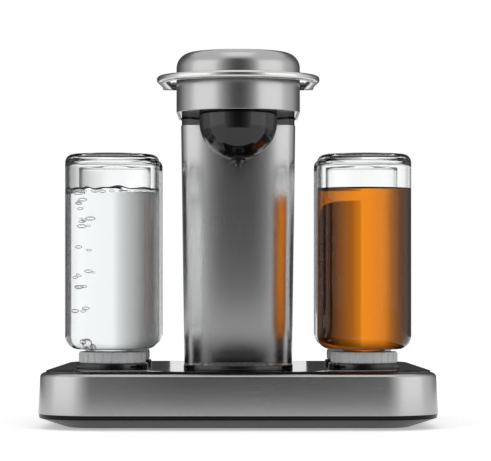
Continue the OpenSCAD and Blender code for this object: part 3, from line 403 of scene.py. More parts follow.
def fillet(points: Sequence[tuple[float, ...]], steps: int = 8) -> Array:
    """Rounds a polygon's corners.

    Each corner (x, y, r) becomes an arc of radius r that touches both of its edges: it starts and ends at
    r / tan(half the corner's angle) from the corner. A corner without a radius stays as it is.

    Args:
        points: closed polygon, each corner with its radius.
        steps: points on an arc, less one.

    Returns:
        The rounded polygon's points, one row each.
    """
    corners = np.array([p[:2] for p in points], float)
    rows = []
    for i, corner in enumerate(points):
        here = corners[i]
        r = corner[2] if len(corner) > 2 else 0.0
        if r <= 0.0:
            rows.append(here[None, :])
            continue
        back = corners[i - 1] - here
        on = corners[(i + 1) % len(points)] - here
        back /= np.linalg.norm(back)
        on /= np.linalg.norm(on)
        half = math.acos(float(np.clip(back @ on, -1.0, 1.0))) / 2.0
        reach = r / math.tan(half)
        middle = here + (back + on) / np.linalg.norm(back + on) * r / math.sin(half)
        start, end = here + back * reach - middle, here + on * reach - middle
        a0, a1 = math.atan2(start[1], start[0]), math.atan2(end[1], end[0])
        turn = (a1 - a0 + math.pi) % (2.0 * math.pi) - math.pi
        angle = a0 + turn * np.linspace(0.0, 1.0, steps + 1)
        rows.append(middle + r * np.stack([np.cos(angle), np.sin(angle)], 1))
    return np.concatenate(rows)


def arc(centre: tuple[float, float], r: float, start: float, end: float, steps: int) -> Array:
    """Points centre + r * (cos a, sin a) for a from start to end.

    Args:
        centre: the arc's centre.
        r: its radius.
        start: first angle in degrees.
        end: last angle in degrees.
        steps: points on the arc, less one.

    Returns:
        The points, one row each.
    """
    a = np.radians(np.linspace(start, end, steps + 1))
    return np.stack([centre[0] + r * np.cos(a), centre[1] + r * np.sin(a)], 1)


def grid_quads(rows: int, columns: int, close_rows: bool, close_columns: bool) -> Array:
    """Quads of a grid whose vertex (i, j) has index i * columns + j.

    Args:
        rows: number of rows.
        columns: number of columns.
        close_rows: the last row joins the first.
        close_columns: the last column joins the first.

    Returns:
        An array of four indices for each quad.
    """
    i, j = np.meshgrid(np.arange(rows if close_rows else rows - 1),
                       np.arange(columns if close_columns else columns - 1), indexing="ij")
    i2, j2 = (i + 1) % rows, (j + 1) % columns
    quads = np.stack([i * columns + j, i * columns + j2, i2 * columns + j2, i2 * columns + j], -1)
    return quads.reshape(-1, 4)


def turned(profile: Array, centre: tuple[float, float], segments: int = 160) -> tuple[Array, list]:
    """A surface of revolution: point (r, z) of the closed profile goes to centre + r * (cos a, sin a) at z.

    Args:
        profile: rows of radius and height.
        centre: the axis's place.
        segments: steps round the axis.

    Returns:
        Vertices and faces.
    """
    a = np.linspace(0.0, 2.0 * math.pi, segments, endpoint=False)
    r, z = profile[:, 0:1], profile[:, 1:2]
    grid = np.stack([centre[0] + r * np.cos(a), centre[1] + r * np.sin(a), z + 0.0 * a], -1)
    return grid.reshape(-1, 3), grid_quads(len(profile), segments, True, True).tolist()


def shell(outline: Callable[[float, float], Array], section: Array, closed: bool) -> tuple[Array, list]:
    """A wall that follows an outline: point (inset, z) of the closed section runs along outline(inset, z).

    Args:
        outline: gives the points, in three dimensions, of the outline drawn in by inset at height z.
        section: rows of inset and height.
        closed: the outline is closed; an open one gets an end face at each end.

    Returns:
        Vertices and faces.
    """
    rings = np.stack([outline(float(inset), float(z)) for inset, z in section])
    count, length = rings.shape[:2]
    faces = grid_quads(count, length, True, closed).tolist()
    if not closed:
        faces.append(list(range(0, count * length, length)))
        faces.append(list(range(length - 1, count * length, length)))
    return rings.reshape(-1, 3), faces


def slab(plan: Array, start: float, end: float, axis: int = 2) -> tuple[Array, list]:
    """A flat shape given thickness along an axis, with its plan in the other two.

    Args:
        plan: rows of the plan's two coordinates.
        start: the first face's place on the axis.
        end: the other face's place.
        axis: 0, 1 or 2 for X, Y or Z.

    Returns:
        Vertices and faces.
    """
    others = [k for k in range(3) if k != axis]
    rings = np.zeros((2, len(plan), 3))
    rings[:, :, others] = plan
    rings[0, :, axis], rings[1, :, axis] = start, end
    count = len(plan)
    faces = grid_quads(2, count, False, True).tolist()
    return rings.reshape(-1, 3), faces + [list(range(count))[::-1], list(range(count, 2 * count))]


def mesh_of(name: str, parts: Sequence[tuple[Array, list]]) -> bpy.types.Mesh:
    """A mesh from surfaces in millimetres, with doubles merged and faces turned outwards.

    Args:
        name: the mesh's name.
        parts: vertices and faces of each surface.

    Returns:
        The mesh, in metres.
    """
    mesh = bpy.data.meshes.new(name)
    starts = np.cumsum([0] + [len(points) for points, _ in parts])
    faces = [[k + int(start) for k in face]
             for (_, part), start in zip(parts, starts, strict=False) for face in part]
    mesh.from_pydata(np.concatenate([points for points, _ in parts]) * MM, [], faces)
    work = bmesh.new()
    work.from_mesh(mesh)
    bmesh.ops.remove_doubles(work, verts=work.verts, dist=1e-7)
    bmesh.ops.delete(work, geom=[e for e in work.edges if not e.link_faces], context="EDGES")
    bmesh.ops.recalc_face_normals(work, faces=work.faces)
    work.to_mesh(mesh)
    work.free()
    return mesh


def cut(mesh: bpy.types.Mesh, cutter: bpy.types.Mesh) -> bpy.types.Mesh:
    """Takes one closed mesh away from another.

    Args:
        mesh: what is cut.
        cutter: what is taken away.

    Returns:
        The remaining mesh.
    """
    pair = [bpy.data.objects.new("cutting", m) for m in (mesh, cutter)]
    for item in pair:
        bpy.context.scene.collection.objects.link(item)
    step = pair[0].modifiers.new("cut", "BOOLEAN")
    step.operation, step.solver, step.object = "DIFFERENCE", "EXACT", pair[1]
    bpy.context.view_layer.update()
    graph = bpy.context.evaluated_depsgraph_get()
    result = bpy.data.meshes.new_from_object(pair[0].evaluated_get(graph))
    for item in pair:
        bpy.data.objects.remove(item)
    return result


def piece(name: str, shape: bpy.types.Mesh | Sequence[tuple[Array, list]], finish: Finish, body: str,
          replaced: Sequence[str] = (), crease: float = 32.0) -> bpy.types.Object:
    """Makes one object of the dispenser and fastens it to its body.

    Args:
        name: the object's name.
        shape: its mesh, or the surfaces that it is made of.
        finish: its finish.
        body: the CAD body it rides on.
        replaced: the CAD nodes that it stands for.
        crease: edges that turn by more than this many degrees stay sharp.

    Returns:
        The object.
    """
    mesh = shape if isinstance(shape, bpy.types.Mesh) else mesh_of(name, shape)
    mesh.name = name
    mesh.polygons.foreach_set("use_smooth", np.ones(len(mesh.polygons), bool))
    mesh.set_sharp_from_angle(angle=math.radians(crease))
    mesh.materials.clear()
    mesh.materials.append(finish.material())
    made = bpy.data.objects.new(name, mesh)
    bpy.context.scene.collection.objects.link(made)
    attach(made, body)
    if replaced:
        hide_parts(*replaced)
    LOG.info("%s: %d faces on %s", name, len(mesh.polygons), body)
    return made


def dress(names: Sequence[str], finish: Finish, frame: dict) -> None:
    """Gives CAD nodes a finish, and smooth shading on their curved faces.

    Args:
        names: the nodes.
        finish: their finish.
    """
    for name in names:
        node = frame["nodes"][name]
        node.data.materials.clear()
        node.data.materials.append(finish.material())
        node.data.polygons.foreach_set("use_smooth", np.ones(len(node.data.polygons), bool))
        weld = node.modifiers.new("weld", "WELD")
        weld.merge_threshold = 1e-6
        split = node.modifiers.new("split", "EDGE_SPLIT")
        split.split_angle = math.radians(30.0)
        LOG.info("%s: dressed in %s", name, finish.name)


# ---------------------------------------------------------------- the dispenser


@dataclass(frozen=True)
class Base:
    """The low base: metal band and what is dressed from the CAD."""

    width: float = 330.0
    front: float = 135.0
    back: float = 137.7
    taper: float = 13.0
    corner_r: float = 46.0
    band_z: float = 12.0
    band_top: float = 45.8
    draft: float = 1.6
    edge_r: float = 4.0
    inner: float = 3.1
    lip: float = 6.2
    lip_under: float = 44.0
    inlet_x: float = -60.0
    rocker_x: float = -93.0
    cutout_z: float = 28.0

    def outline(self, inset: float, z: float, steps: int = 40) -> Array:
        """Four corner arcs joined by straight sides, drawn in by inset.

        Args:
            inset: how far it is drawn in.
            z: its height.
            steps: points on each arc, less one.

        Returns:
            Points in three dimensions.
        """
        fx, fy = self.width / 2.0 - self.corner_r, self.corner_r - self.front
        bx, by = (self.width - self.taper) / 2.0 - self.corner_r, self.back - self.corner_r
        lean = math.degrees(math.atan((fx - bx) / (by - fy)))
        r = self.corner_r - inset
        plan = np.concatenate([
            arc((fx, fy), r, -90.0, lean, steps), arc((bx, by), r, lean, 90.0, steps),
            arc((-bx, by), r, 90.0, 180.0 - lean, steps), arc((-fx, fy), r, 180.0 - lean, 270.0, steps),
        ])
        return np.column_stack([plan, np.full(len(plan), z)])

    def band(self) -> bpy.types.Mesh:
        """The drawn band: its section carried round the outline, then cut for the inlet and the switch."""
        lean = self.draft * (self.band_top - self.band_z) / (self.band_top - self.band_z - self.edge_r)
        section = fillet([
            (0.0, self.band_z, 0.5), (lean, self.band_top, self.edge_r), (self.lip, self.band_top, 0.25),
            (self.lip, self.lip_under), (self.inner, self.lip_under), (self.inner, self.band_z, 0.3),
        ])
        mesh = mesh_of("band", [shell(self.outline, section, True)])
        for x, w, h, r in ((self.inlet_x, 25.4, 18.4, 3.2), (self.rocker_x, 21.4, 15.4, 1.7)):
            plan = fillet([(x - w / 2, self.cutout_z - h / 2, r), (x + w / 2, self.cutout_z - h / 2, r),
                           (x + w / 2, self.cutout_z + h / 2, r), (x - w / 2, self.cutout_z + h / 2, r)], 6)
            mesh = cut(mesh, mesh_of("cutter", [slab(plan, self.back - 9.0, self.back + 3.0, 1)]))
        return mesh

    def build(self, frame: dict) -> None:
        """Makes the band and dresses the rest."""
        piece("metal_band", self.band(), GUNMETAL_BAND, "base", ["base_band"])
        dress(["base_pan"], PAN_BLACK, frame)
        dress(["deck", "display_lens", "tank_dock"], GLOSS_BLACK, frame)
        dress(["rubber_feet", "dock_seals"], RUBBER, frame)
        dress(["base_screws", "dock_probes"], STEEL, frame)
        dress(["main_board", "display_board"], BOARD, frame)
        dress(["mains_inlet", "power_rocker", "power_supply"], MOULDED_BLACK, frame)


class Fill(Enum):
    """What a bottle holds."""

    CLEAR = "clear"
    AMBER = "amber"
    EMPTY = "empty"


@dataclass(frozen=True)
class BottleSet:
    """One upturned bottle with its cap, on its dock."""

    place: str
    centre: tuple[float, float]
    fill: Fill
    deck_z: float = 47.7
    dock_z: float = 52.5
    flange_r: float = 29.85
    socket_r: float = 24.4
    collar_r: float = 27.5
    collar_z: float = 61.8
    mouth_z: float = 43.5
    shoulder_z: float = 63.8
    base_z: float = 227.5
    bottle_r: float = 39.6
    wall: float = 2.6
    base_t: float = 6.0
    neck_r: float = 17.5
    level_z: float = 197.4
    ribs: int = 24
    rib_r: float = 0.9

    def dock(self) -> Array:
        """The dock's half-section: flange on the deck, coned mouth, socket and barrel."""
        return fillet([
            (27.0, 22.0, 0.5), (27.0, self.deck_z), (self.flange_r, self.deck_z, 0.2),
            (self.flange_r, self.dock_z, 1.2), (26.8, self.dock_z, 0.4),
            (self.socket_r, self.dock_z - 1.8, 0.5),
            (self.socket_r, 34.0, 0.4), (12.9, 34.0), (12.9, 26.0), (1.4, 26.0), (1.4, 17.0), (4.0, 17.0),
            (4.0, 22.0),
        ], 6)

    def glass(self) -> Array:
        """The bottle's half-section: neck with two thread beads, round shoulder, thick punted base."""
        t0, t1 = self.mouth_z + 5.0, self.mouth_z + 10.0
        inside = self.bottle_r - self.wall
        floor = self.base_z - self.base_t
        return fillet([
            (self.neck_r, self.mouth_z, 0.6),
            (self.neck_r, t0), (18.5, t0 + 0.4, 0.4), (18.5, t0 + 1.8, 0.4), (self.neck_r, t0 + 2.2),
            (self.neck_r, t1), (18.5, t1 + 0.4, 0.4), (18.5, t1 + 1.8, 0.4), (self.neck_r, t1 + 2.2),
            (self.neck_r, self.shoulder_z, 1.6), (self.bottle_r, self.shoulder_z, 11.0),
            (self.bottle_r, self.base_z, 6.8), (24.0, self.base_z, 4.0), (20.0, self.base_z - 1.0, 4.0),
            (0.0, self.base_z - 1.6), (0.0, floor + 0.4), (22.0, floor + 0.2, 8.0),
            (inside, floor - 0.3, 4.6),
            (inside, self.shoulder_z + self.wall, 8.4), (14.9, self.shoulder_z + self.wall, 3.0),
            (14.9, self.mouth_z, 0.6),
        ], 10)

    def spirit(self) -> tuple[Array, list]:
        """The liquid: it fills the bottle to its level, with a raised edge and low waves.

        Height of the top surface: level + 1.6 * exp((r - R) / 1.1) + waves that fade out towards the axis.

        Returns:
            Vertices and faces.
        """
        r_in = self.bottle_r - self.wall + 0.12
        body = fillet([
            (0.0, 46.5), (14.9, 46.5), (14.9, self.shoulder_z + self.wall, 3.0),
            (r_in, self.shoulder_z + self.wall, 8.4), (r_in, self.level_z + 1.6),
        ], 8)
        r = np.linspace(r_in, 0.0, 36)[1:]
        top = np.column_stack([r, self.level_z + 1.6 * np.exp((r - r_in) / 1.1)])
        points, faces = turned(np.concatenate([body, top]), self.centre, 160)
        if self.fill is Fill.CLEAR:
            x, y = points[:, 0] - self.centre[0], points[:, 1] - self.centre[1]
            weight = np.clip((points[:, 2] - self.level_z + 1.0) / 1.0, 0.0, 1.0)
            wave = 0.9 * np.sin(0.21 * x + 0.6) * np.cos(0.17 * y) + 0.5 * np.sin(0.43 * x - 0.3 * y)
            points[:, 2] += weight * wave
        return points, faces

    def bubbles(self) -> list[tuple[Array, list]]:
        """Flat bubbles in clusters up one side, and a line of them at the surface.

        Each is an ellipsoid: centre + (a cos u cos v, a sin u cos v, b sin v).

        Returns:
            One surface for each bubble.
        """
        rng = np.random.default_rng(7)
        places = []
        for z in (72.0, 99.0, 118.0, 124.0, 128.0, 150.0, 168.0, 172.0, 181.0, 188.0):
            count = int(rng.integers(2, 5))
            spot = rng.normal(0.0, 1.0, (count, 3)) * (4.2, 5.0, 2.2) + (-19.0, -12.0, z)
            places += [(*row, 1.1 + 1.9 * rng.random()) for row in spot]
        for angle in np.linspace(2.2, 5.9, 17):
            reach = 34.5 - 6.0 * rng.random()
            depth, size = rng.random(), rng.random()
            places.append((reach * math.cos(angle), reach * math.sin(angle), self.level_z - 1.3 - depth,
                           1.2 + 1.5 * size))
        u = np.linspace(0.0, 2.0 * math.pi, 10, endpoint=False)
        v = np.linspace(-math.pi / 2.0, math.pi / 2.0, 7)[:, None]
        parts = []
        for x, y, z, a in places:
            grid = np.stack([
                self.centre[0] + x + a * 1.25 * np.cos(u) * np.cos(v),
                self.centre[1] + y + a * np.sin(u) * np.cos(v),
                z + 0.62 * a * np.sin(v) + 0.0 * u,
            ], -1)
            parts.append((grid.reshape(-1, 3), grid_quads(7, 10, False, True).tolist()))
        return parts

    def cap(self) -> list[tuple[Array, list]]:
        """The valve cap: a ribbed collar, a barrel in the dock's socket and a nozzle.

        Radius of the collar at angle a: the larger of its own and the rib's, which is
        R cos d + sqrt(rib^2 - (R sin d)^2), where d is the angle from the nearest rib.

        Returns:
            Its surface.
        """
        lo, hi, r = self.dock_z + 0.02, self.collar_z, self.collar_r
        section = np.concatenate([
            [[12.5, 26.6], [12.5, 34.4], [self.socket_r - 0.4, 34.4], [self.socket_r - 0.4, lo]],
            [[r - 0.4, lo], [r, lo + 0.4], [r, lo + 0.8], [r + 1.0, lo + 1.1], [r + 1.0, hi - 1.3],
             [r, hi - 1.0],
             [r, hi - 0.6], [r - 0.2, hi - 0.2], [r - 0.6, hi]],
            [[19.4, hi], [18.9, hi - 0.5], [18.7, 43.4], [7.0, 43.4], [7.0, 40.0], [3.4, 40.0], [3.4, 34.0],
             [10.1, 34.0], [10.1, 26.6]],
        ])
        segments = self.ribs * 16
        points, faces = turned(section, (0.0, 0.0), segments)
        grid = points.reshape(len(section), segments, 3)
        spacing = 2.0 * math.pi / self.ribs
        a = np.linspace(0.0, 2.0 * math.pi, segments, endpoint=False)
        d = np.abs((a + spacing / 2.0) % spacing - spacing / 2.0)
        middle = r - 0.2
        bump = middle * np.cos(d) + np.sqrt(np.clip(self.rib_r ** 2 - (middle * np.sin(d)) ** 2, 0.0, None))
        radius = np.where(middle * np.sin(d) < self.rib_r, np.maximum(bump, r), r)
        ribbed = section[:, 0] > r + 0.5
        grid[ribbed, :, 0] = radius * np.cos(a)
        grid[ribbed, :, 1] = radius * np.sin(a)
        grid[..., 0] += self.centre[0]
        grid[..., 1] += self.centre[1]
        return [(grid.reshape(-1, 3), faces)]

    def build(self, frame: dict) -> None:
        """Makes the dock, the cap, the bottle and what is in it."""
        body = f"bottle_set_{self.place}"
        piece(f"dock_ring_{self.place}", [turned(self.dock(), self.centre)], GLOSS_BLACK, "base",
              [f"dock_{self.place}"])
        piece(f"valve_cap_{self.place}", self.cap(), CAP_PLASTIC, body, [f"cap_{self.place}"],
              25.0)
        piece(f"glass_bottle_{self.place}", [turned(self.glass(), self.centre, 192)], GLASS, body,
              [f"bottle_{self.place}"])
        dress([f"valve_{self.place}"], SILICONE, frame)
        if self.fill is not Fill.EMPTY:
            finish = CLEAR_SPIRIT if self.fill is Fill.CLEAR else AMBER_SPIRIT
            piece(f"{self.fill.value}_spirit_{self.place}", [self.spirit()], finish, body)
        if self.fill is Fill.CLEAR:
            piece(f"bubbles_{self.place}", self.bubbles(), BUBBLE, body)


@dataclass(frozen=True)
class Tank:
    """The water tank behind the column, with its lid."""

    centre: tuple[float, float] = (0.0, 85.0)
    r: float = 40.5
    foot_z: float = 51.7
    top_z: float = 227.7
    wall: float = 2.4

    def vessel(self) -> Array:
        """The tank's half-section: nozzle, round lower edge, thin rolled rim."""
        inside = self.r - self.wall
        return fillet([
            (3.4, self.foot_z + self.wall), (3.4, self.foot_z - 3.0), (10.1, self.foot_z - 3.0),
            (10.1, self.foot_z - 12.0), (12.5, self.foot_z - 12.0, 0.4), (12.5, self.foot_z, 0.6),
            (self.r, self.foot_z, 6.0), (self.r, self.top_z, 0.9), (inside, self.top_z, 0.6),
            (inside, self.foot_z + self.wall, 4.0),
        ])

    def lid(self) -> Array:
        """The lid's half-section: a plug skirt below and a finger hollow in its top."""
        skirt, top = self.r - self.wall - 0.4, self.top_z + 4.0
        ball, ball_z = 24.5, self.top_z + 26.0
        hollow = arc((0.0, ball_z), ball, -90.0, -90.0 + math.degrees(math.acos((ball_z - top) / ball)), 10)
        rim = fillet([
            (0.0, self.top_z), (skirt - 1.8, self.top_z), (skirt - 1.8, self.top_z - 6.0, 0.3),
            (skirt, self.top_z - 6.0, 0.3), (skirt, self.top_z), (self.r, self.top_z, 0.2),
            (self.r, top, 1.5),
            (float(hollow[-1, 0]) + 1.0, top),
        ])
        return np.concatenate([rim, hollow[::-1]])

    def build(self, frame: dict) -> None:
        """Makes the tank and its lid."""
        piece("clear_tank", [turned(self.vessel(), self.centre)], TANK_PLASTIC, "tank_set", ["water_tank"])
        piece("tank_cover", [turned(self.lid(), self.centre)], MOULDED_BLACK, "tank_lid_body", ["tank_lid"])
        dress(["tank_valve"], SILICONE, frame)


@dataclass(frozen=True)
class DripTray:
    """The round drip tray and its slotted grate."""

    centre: tuple[float, float] = (0.0, -70.0)
    rim_r: float = 45.4
    deck_z: float = 47.7
    top_z: float = 52.0
    ledge_r: float = 43.6
    ledge_z: float = 49.5
    cup_r: float = 42.0
    cup_z: float = 39.7

    def cup(self) -> Array:
        """The tray's half-section: rounded rim, ledge for the grate and the cup below."""
        return fillet([
            (0.0, self.cup_z), (self.cup_r, self.cup_z, 1.5), (self.cup_r, self.deck_z, 0.2),
            (self.rim_r, self.deck_z, 0.3), (self.rim_r, self.top_z, 0.9), (self.ledge_r, self.top_z, 0.5),
            (self.ledge_r, self.ledge_z), (self.cup_r - 1.8, self.ledge_z, 0.3),
            (self.cup_r - 1.8, self.cup_z + 1.8, 1.5), (0.0, self.cup_z + 1.8),
        ])

    def build(self, frame: dict) -> None:
        """Makes the tray and dresses the grate."""
        piece("drip_cup", [turned(self.cup(), self.centre)], GLOSS_BLACK, "tray_body", ["drip_tray"])
        dress(["drip_grate"], STEEL, frame)


@dataclass(frozen=True)
class Column:
    """The column: metal sleeve in front, moulded spine behind."""

    foot_half: float = 46.7
    head_half: float = 49.6
    depth: float = 50.0
    centre_y: float = 17.0
    foot_z: float = 47.7
    top_z: float = 255.8
    power: float = 2.7
    split_y: float = 26.0
    wall: float = 1.6
    spine_wall: float = 6.0
    gap: float = 0.2

    def curve(self, inset: float, z: float, start: float, end: float, steps: int) -> Array:
        """Part of a superellipse: (w |cos a|^(2/p), d |sin a|^(2/p)) with the signs of cos a and sin a.

        Args:
            inset: how far it is drawn in.
            z: the height; the half-width grows from the foot to the head.
            start: first angle in degrees.
            end: last angle.
            steps: points, less one.

        Returns:
            Points in three dimensions.
        """
        share = (z - self.foot_z) / (self.top_z - self.foot_z)
        half = self.foot_half + (self.head_half - self.foot_half) * share - inset
        a = np.radians(np.linspace(start, end, steps + 1))
        c, s = np.cos(a), np.sin(a)
        x = half * np.sign(c) * np.abs(c) ** (2.0 / self.power)
        y = self.centre_y + (self.depth / 2.0 - inset) * np.sign(s) * np.abs(s) ** (2.0 / self.power)
        return np.column_stack([x, y, np.full(len(a), z)])

    def angle_at(self, y: float, inset: float) -> float:
        """The angle, in degrees, at which the drawn-in superellipse crosses y."""
        share = (y - self.centre_y) / (self.depth / 2.0 - inset)
        return math.degrees(math.asin(share ** (self.power / 2.0)))

    def front(self, inset: float, z: float) -> Array:
        """The sleeve's outline, from one side round the front to the other."""
        a = self.angle_at(self.split_y, inset)
        return self.curve(inset, z, 180.0 - a, 360.0 + a, 240)

    def rear(self, inset: float, z: float) -> Array:
        """The spine's outline: its own face behind the split, drawn in where the sleeve covers it."""
        hidden = inset + self.wall + self.gap
        a = self.angle_at(self.split_y + self.gap, inset)
        b = self.angle_at(self.split_y + self.gap, hidden)
        open_side = self.curve(inset, z, a, 180.0 - a, 160)
        covered = self.curve(hidden, z, 180.0 - b, 360.0 + b, 80)
        return np.concatenate([open_side, covered])

    def build(self, frame: dict) -> None:
        """Makes the sleeve and the spine."""
        sleeve = fillet([(0.0, self.foot_z, 0.3), (0.0, self.top_z, 0.5), (self.wall, self.top_z),
                         (self.wall, self.foot_z)], 5)
        piece("sleeve_shell", [shell(self.front, sleeve, False)], GUNMETAL, "base", ["column_sleeve"])
        spine = fillet([(0.0, self.foot_z, 0.3), (0.0, self.top_z, 0.4), (self.spine_wall, self.top_z),
                        (self.spine_wall, self.foot_z)], 4)
        piece("spine_shell", [shell(self.rear, spine, True)], MOULDED_BLACK, "base", ["column_spine"])


@dataclass(frozen=True)
class Head:
    """The head over the drip tray: metal band, bowl and spout."""

    centre_y: float = -70.0
    r: float = 51.4
    low_z: float = 261.2
    top_z: float = 288.2
    step_z: float = 283.0
    step_y: float = -17.0
    split_y: float = 26.0
    wall: float = 1.6
    bowl_r: float = 32.4
    bowl_z: float = 253.5
    bowl_wall: float = 2.0
    flange_r: float = 37.4
    disc_r: float = 7.1
    nozzle_r: float = 2.9

    def outline(self, inset: float, z: float) -> Array:
        """From the split along one side, round the front and back; behind the step the top is lower.

        Args:
            inset: how far it is drawn in.
            z: the height in front of the step.

        Returns:
            Points in three dimensions.
        """
        r = self.r - inset
        ys = np.array([self.split_y, 0.0, self.step_y, self.step_y, -30.0, -50.0])
        side = np.column_stack([np.full(6, -r), ys])
        nose = arc((0.0, self.centre_y), r, 180.0, 360.0, 180)
        plan = np.concatenate([side, nose, side[::-1] * (-1.0, 1.0)])
        height = np.full(len(plan), z)
        height[:3] = min(z, self.step_z - (self.top_z - z if z > self.step_z else 0.0))
        height[-3:] = height[0]
        return np.column_stack([plan, height])

    def bowl(self) -> Array:
        """The bowl's half-section: flange, straight wall and round bottom, inside and out."""
        top, r, inside = self.top_z, self.bowl_r, self.bowl_r - self.bowl_wall
        hole = 3.2
        outer = arc((0.0, self.bowl_z), r, -90.0 + math.degrees(math.asin(hole / r)), 0.0, 48)
        inner = arc((0.0, self.bowl_z), inside, 0.0, -90.0 + math.degrees(math.asin(hole / inside)), 40)
        rim = fillet([(r, top - 8.0), (r, top - 2.0, 0.8), (self.flange_r, top - 2.0, 0.4),
                      (self.flange_r, top, 0.5), (inside, top, 0.6), (inside, top - 8.0)])
        return np.concatenate([outer, rim, inner])

    def spout(self) -> Array:
        """The spout's half-section: disc, plug in the bowl and nozzle."""
        base = self.bowl_z - self.bowl_r
        return fillet([
            (self.nozzle_r, base - 2.6, 0.5), (self.disc_r, base - 2.6, 0.7), (self.disc_r, base + 0.75, 0.2),
            (3.15, base + 0.1), (3.15, base + 2.6), (1.7, base + 2.6), (1.7, base - 5.2),
            (self.nozzle_r, base - 5.2, 0.5),
        ])

    def build(self, frame: dict) -> None:
        """Makes the band, the bowl and the spout and dresses the rest."""
        section = fillet([(0.0, self.low_z, 0.5), (0.0, self.top_z, 0.5), (self.wall, self.top_z),
                          (self.wall, self.low_z)], 5)
        piece("head_shell", [shell(self.outline, section, False)], GUNMETAL_BAND, "base", ["head_band"])
        piece("bowl_shell", [turned(self.bowl(), (0.0, self.centre_y), 192)], GLOSS_BLACK, "base",
              ["capsule_bowl"])
        piece("spout_tip", [turned(self.spout(), (0.0, self.centre_y), 96)], GLOSS_BLACK, "base", ["spout"])
        dress(["head_frame"], GLOSS_BLACK, frame)
        dress(["capsule_piercer", "hinge_pin"], STEEL, frame)
        dress(["hinge_bracket", "handle_lugs"], DARK_METAL, frame)
        dress(["hinge_damper"], MOULDED_BLACK, frame)


@dataclass(frozen=True)
class Lid:
    """The hinged lid: dome and ring handle."""

    centre_y: float = -70.0
    foot_z: float = 291.4
    top_z: float = 312.9
    r: float = 51.4
    edge_r: float = 13.0
    crown: float = 1.9
    wall: float = 1.8
    bar_r: float = 67.7
    bar_w: float = 8.5
    bar_t: float = 5.9
    bar_round: float = 2.6
    web_r: float = 50.0
    web_t: float = 2.6
    arm_angle: float = 3.0
    arm_end_y: float = -12.0

    def dome(self) -> Array:
        """The dome's half-section: upright rim, rounded edge, shallow crown, inside and out.

        The crown's radius is (flat^2 + rise^2) / (2 rise).

        Returns:
            Rows of radius and height.
        """
        flat = self.r - self.edge_r
        edge_z = self.top_z - self.crown - self.edge_r
        crown_r = (flat ** 2 + self.crown ** 2) / (2.0 * self.crown)
        lean = math.degrees(math.asin(flat / crown_r))
        sides = []
        for drop in (0.0, self.wall):
            crown = arc((0.0, self.top_z - crown_r), crown_r - drop, 90.0, 90.0 - lean, 24)
            sides.append(np.concatenate([crown[:-2], arc((flat, edge_z), self.edge_r - drop, 86.0, 0.0, 20)]))
        inside = self.r - self.wall
        foot = fillet([(self.r, self.foot_z + 3.0), (self.r, self.foot_z, 0.8), (inside, self.foot_z),
                       (inside, self.foot_z + 3.0)], 5)
        return np.concatenate([sides[0], foot, sides[1][::-1]])

    def bar(self) -> tuple[Array, list]:
        """The ring handle's bar: its section carried round the front arc and along two converging arms.

        Point (n, z) of the section goes to path + n * outward normal at z; the end rings share one Y.

        Returns:
            Vertices and faces.
        """
        w, low, high = self.bar_w / 2.0, self.foot_z - self.bar_t, self.foot_z
        section = fillet([(-w, low, self.bar_round), (w, low, self.bar_round), (w, high, self.bar_round),
                          (-w, high, self.bar_round)], 8)
        middle = self.bar_r - w
        a = np.radians(np.linspace(180.0 - self.arm_angle, 360.0 + self.arm_angle, 201))
        normal = np.stack([np.cos(a), np.sin(a)], 1)
        path = middle * normal + (0.0, self.centre_y)
        forward = np.array([[math.sin(math.radians(self.arm_angle)), math.cos(math.radians(self.arm_angle))]])
        rings = path[:, None, :] + section[None, :, 0:1] * normal[:, None, :]
        ends = []
        for index, side in ((0, 1.0), (-1, -1.0)):
            along = forward * (side, 1.0)
            reach = (self.arm_end_y - rings[index, :, 1:2]) / along[0, 1]
            ends.append(rings[index] + reach * along)
        rings = np.concatenate([ends[0][None], rings, ends[1][None]])
        heights = np.broadcast_to(section[None, :, 1:2], (len(rings), len(section), 1))
        count = len(section)
        faces = grid_quads(len(rings), count, False, True).tolist()
        faces.append(list(range(count)))
        faces.append(list(range((len(rings) - 1) * count, len(rings) * count)))
        return np.concatenate([rings, heights], -1).reshape(-1, 3), faces

    def web(self) -> tuple[Array, list]:
        """The flat web between the bar and the dome, round the front half."""
        outer = self.bar_r - self.bar_w / 2.0
        section = fillet([(self.web_r, self.foot_z - self.web_t), (outer, self.foot_z - self.web_t),
                          (outer, self.foot_z - 0.01), (self.web_r, self.foot_z - 0.01)])
        a = np.radians(np.linspace(180.0, 360.0, 161))
        grid = np.stack([section[:, 0:1] * np.cos(a), self.centre_y + section[:, 0:1] * np.sin(a),
                         section[:, 1:2] + 0.0 * a], -1)
        count, length = grid.shape[:2]
        faces = grid_quads(count, length, True, False).tolist()
        faces += [list(range(0, count * length, length)), list(range(length - 1, count * length, length))]
        return grid.reshape(-1, 3), faces

    def build(self, frame: dict) -> None:
        """Makes the dome and the handle and dresses what is under them."""
        piece("dome_shell", [turned(self.dome(), (0.0, self.centre_y), 192)], GUNMETAL_BAND, "lid",
              ["lid_dome"])
        piece("handle_ring", [self.bar(), self.web()], SATIN, "lid", ["ring_handle"])
        dress(["lid_liner"], MOULDED_BLACK, frame)
        dress(["lid_gasket"], RUBBER, frame)


@dataclass(frozen=True)
class FluidPath:
    """Pumps, selector and hoses inside the base and the column, dressed from the CAD."""

    steel: tuple[str, ...] = ("pump_motor", "selector_motor")
    black: tuple[str, ...] = ("selector_block", "pump_housing")
    soft: tuple[str, ...] = ("spirit_lines", "water_line", "pump_tube", "delivery_line", "selector_rotor")

    def build(self, frame: dict) -> None:
        """Dresses the nodes."""
        dress(self.steel, STEEL, frame)
        dress(self.black, MOULDED_BLACK, frame)
        dress(self.soft, SILICONE, frame)
        dress(["pump_rotor"], TANK_PLASTIC, frame)


# ---------------------------------------------------------------- studio


class Sight(Enum):
    """Which rays a studio card is there for."""

    GLOSS = "gloss"
    GLASS = "glass"


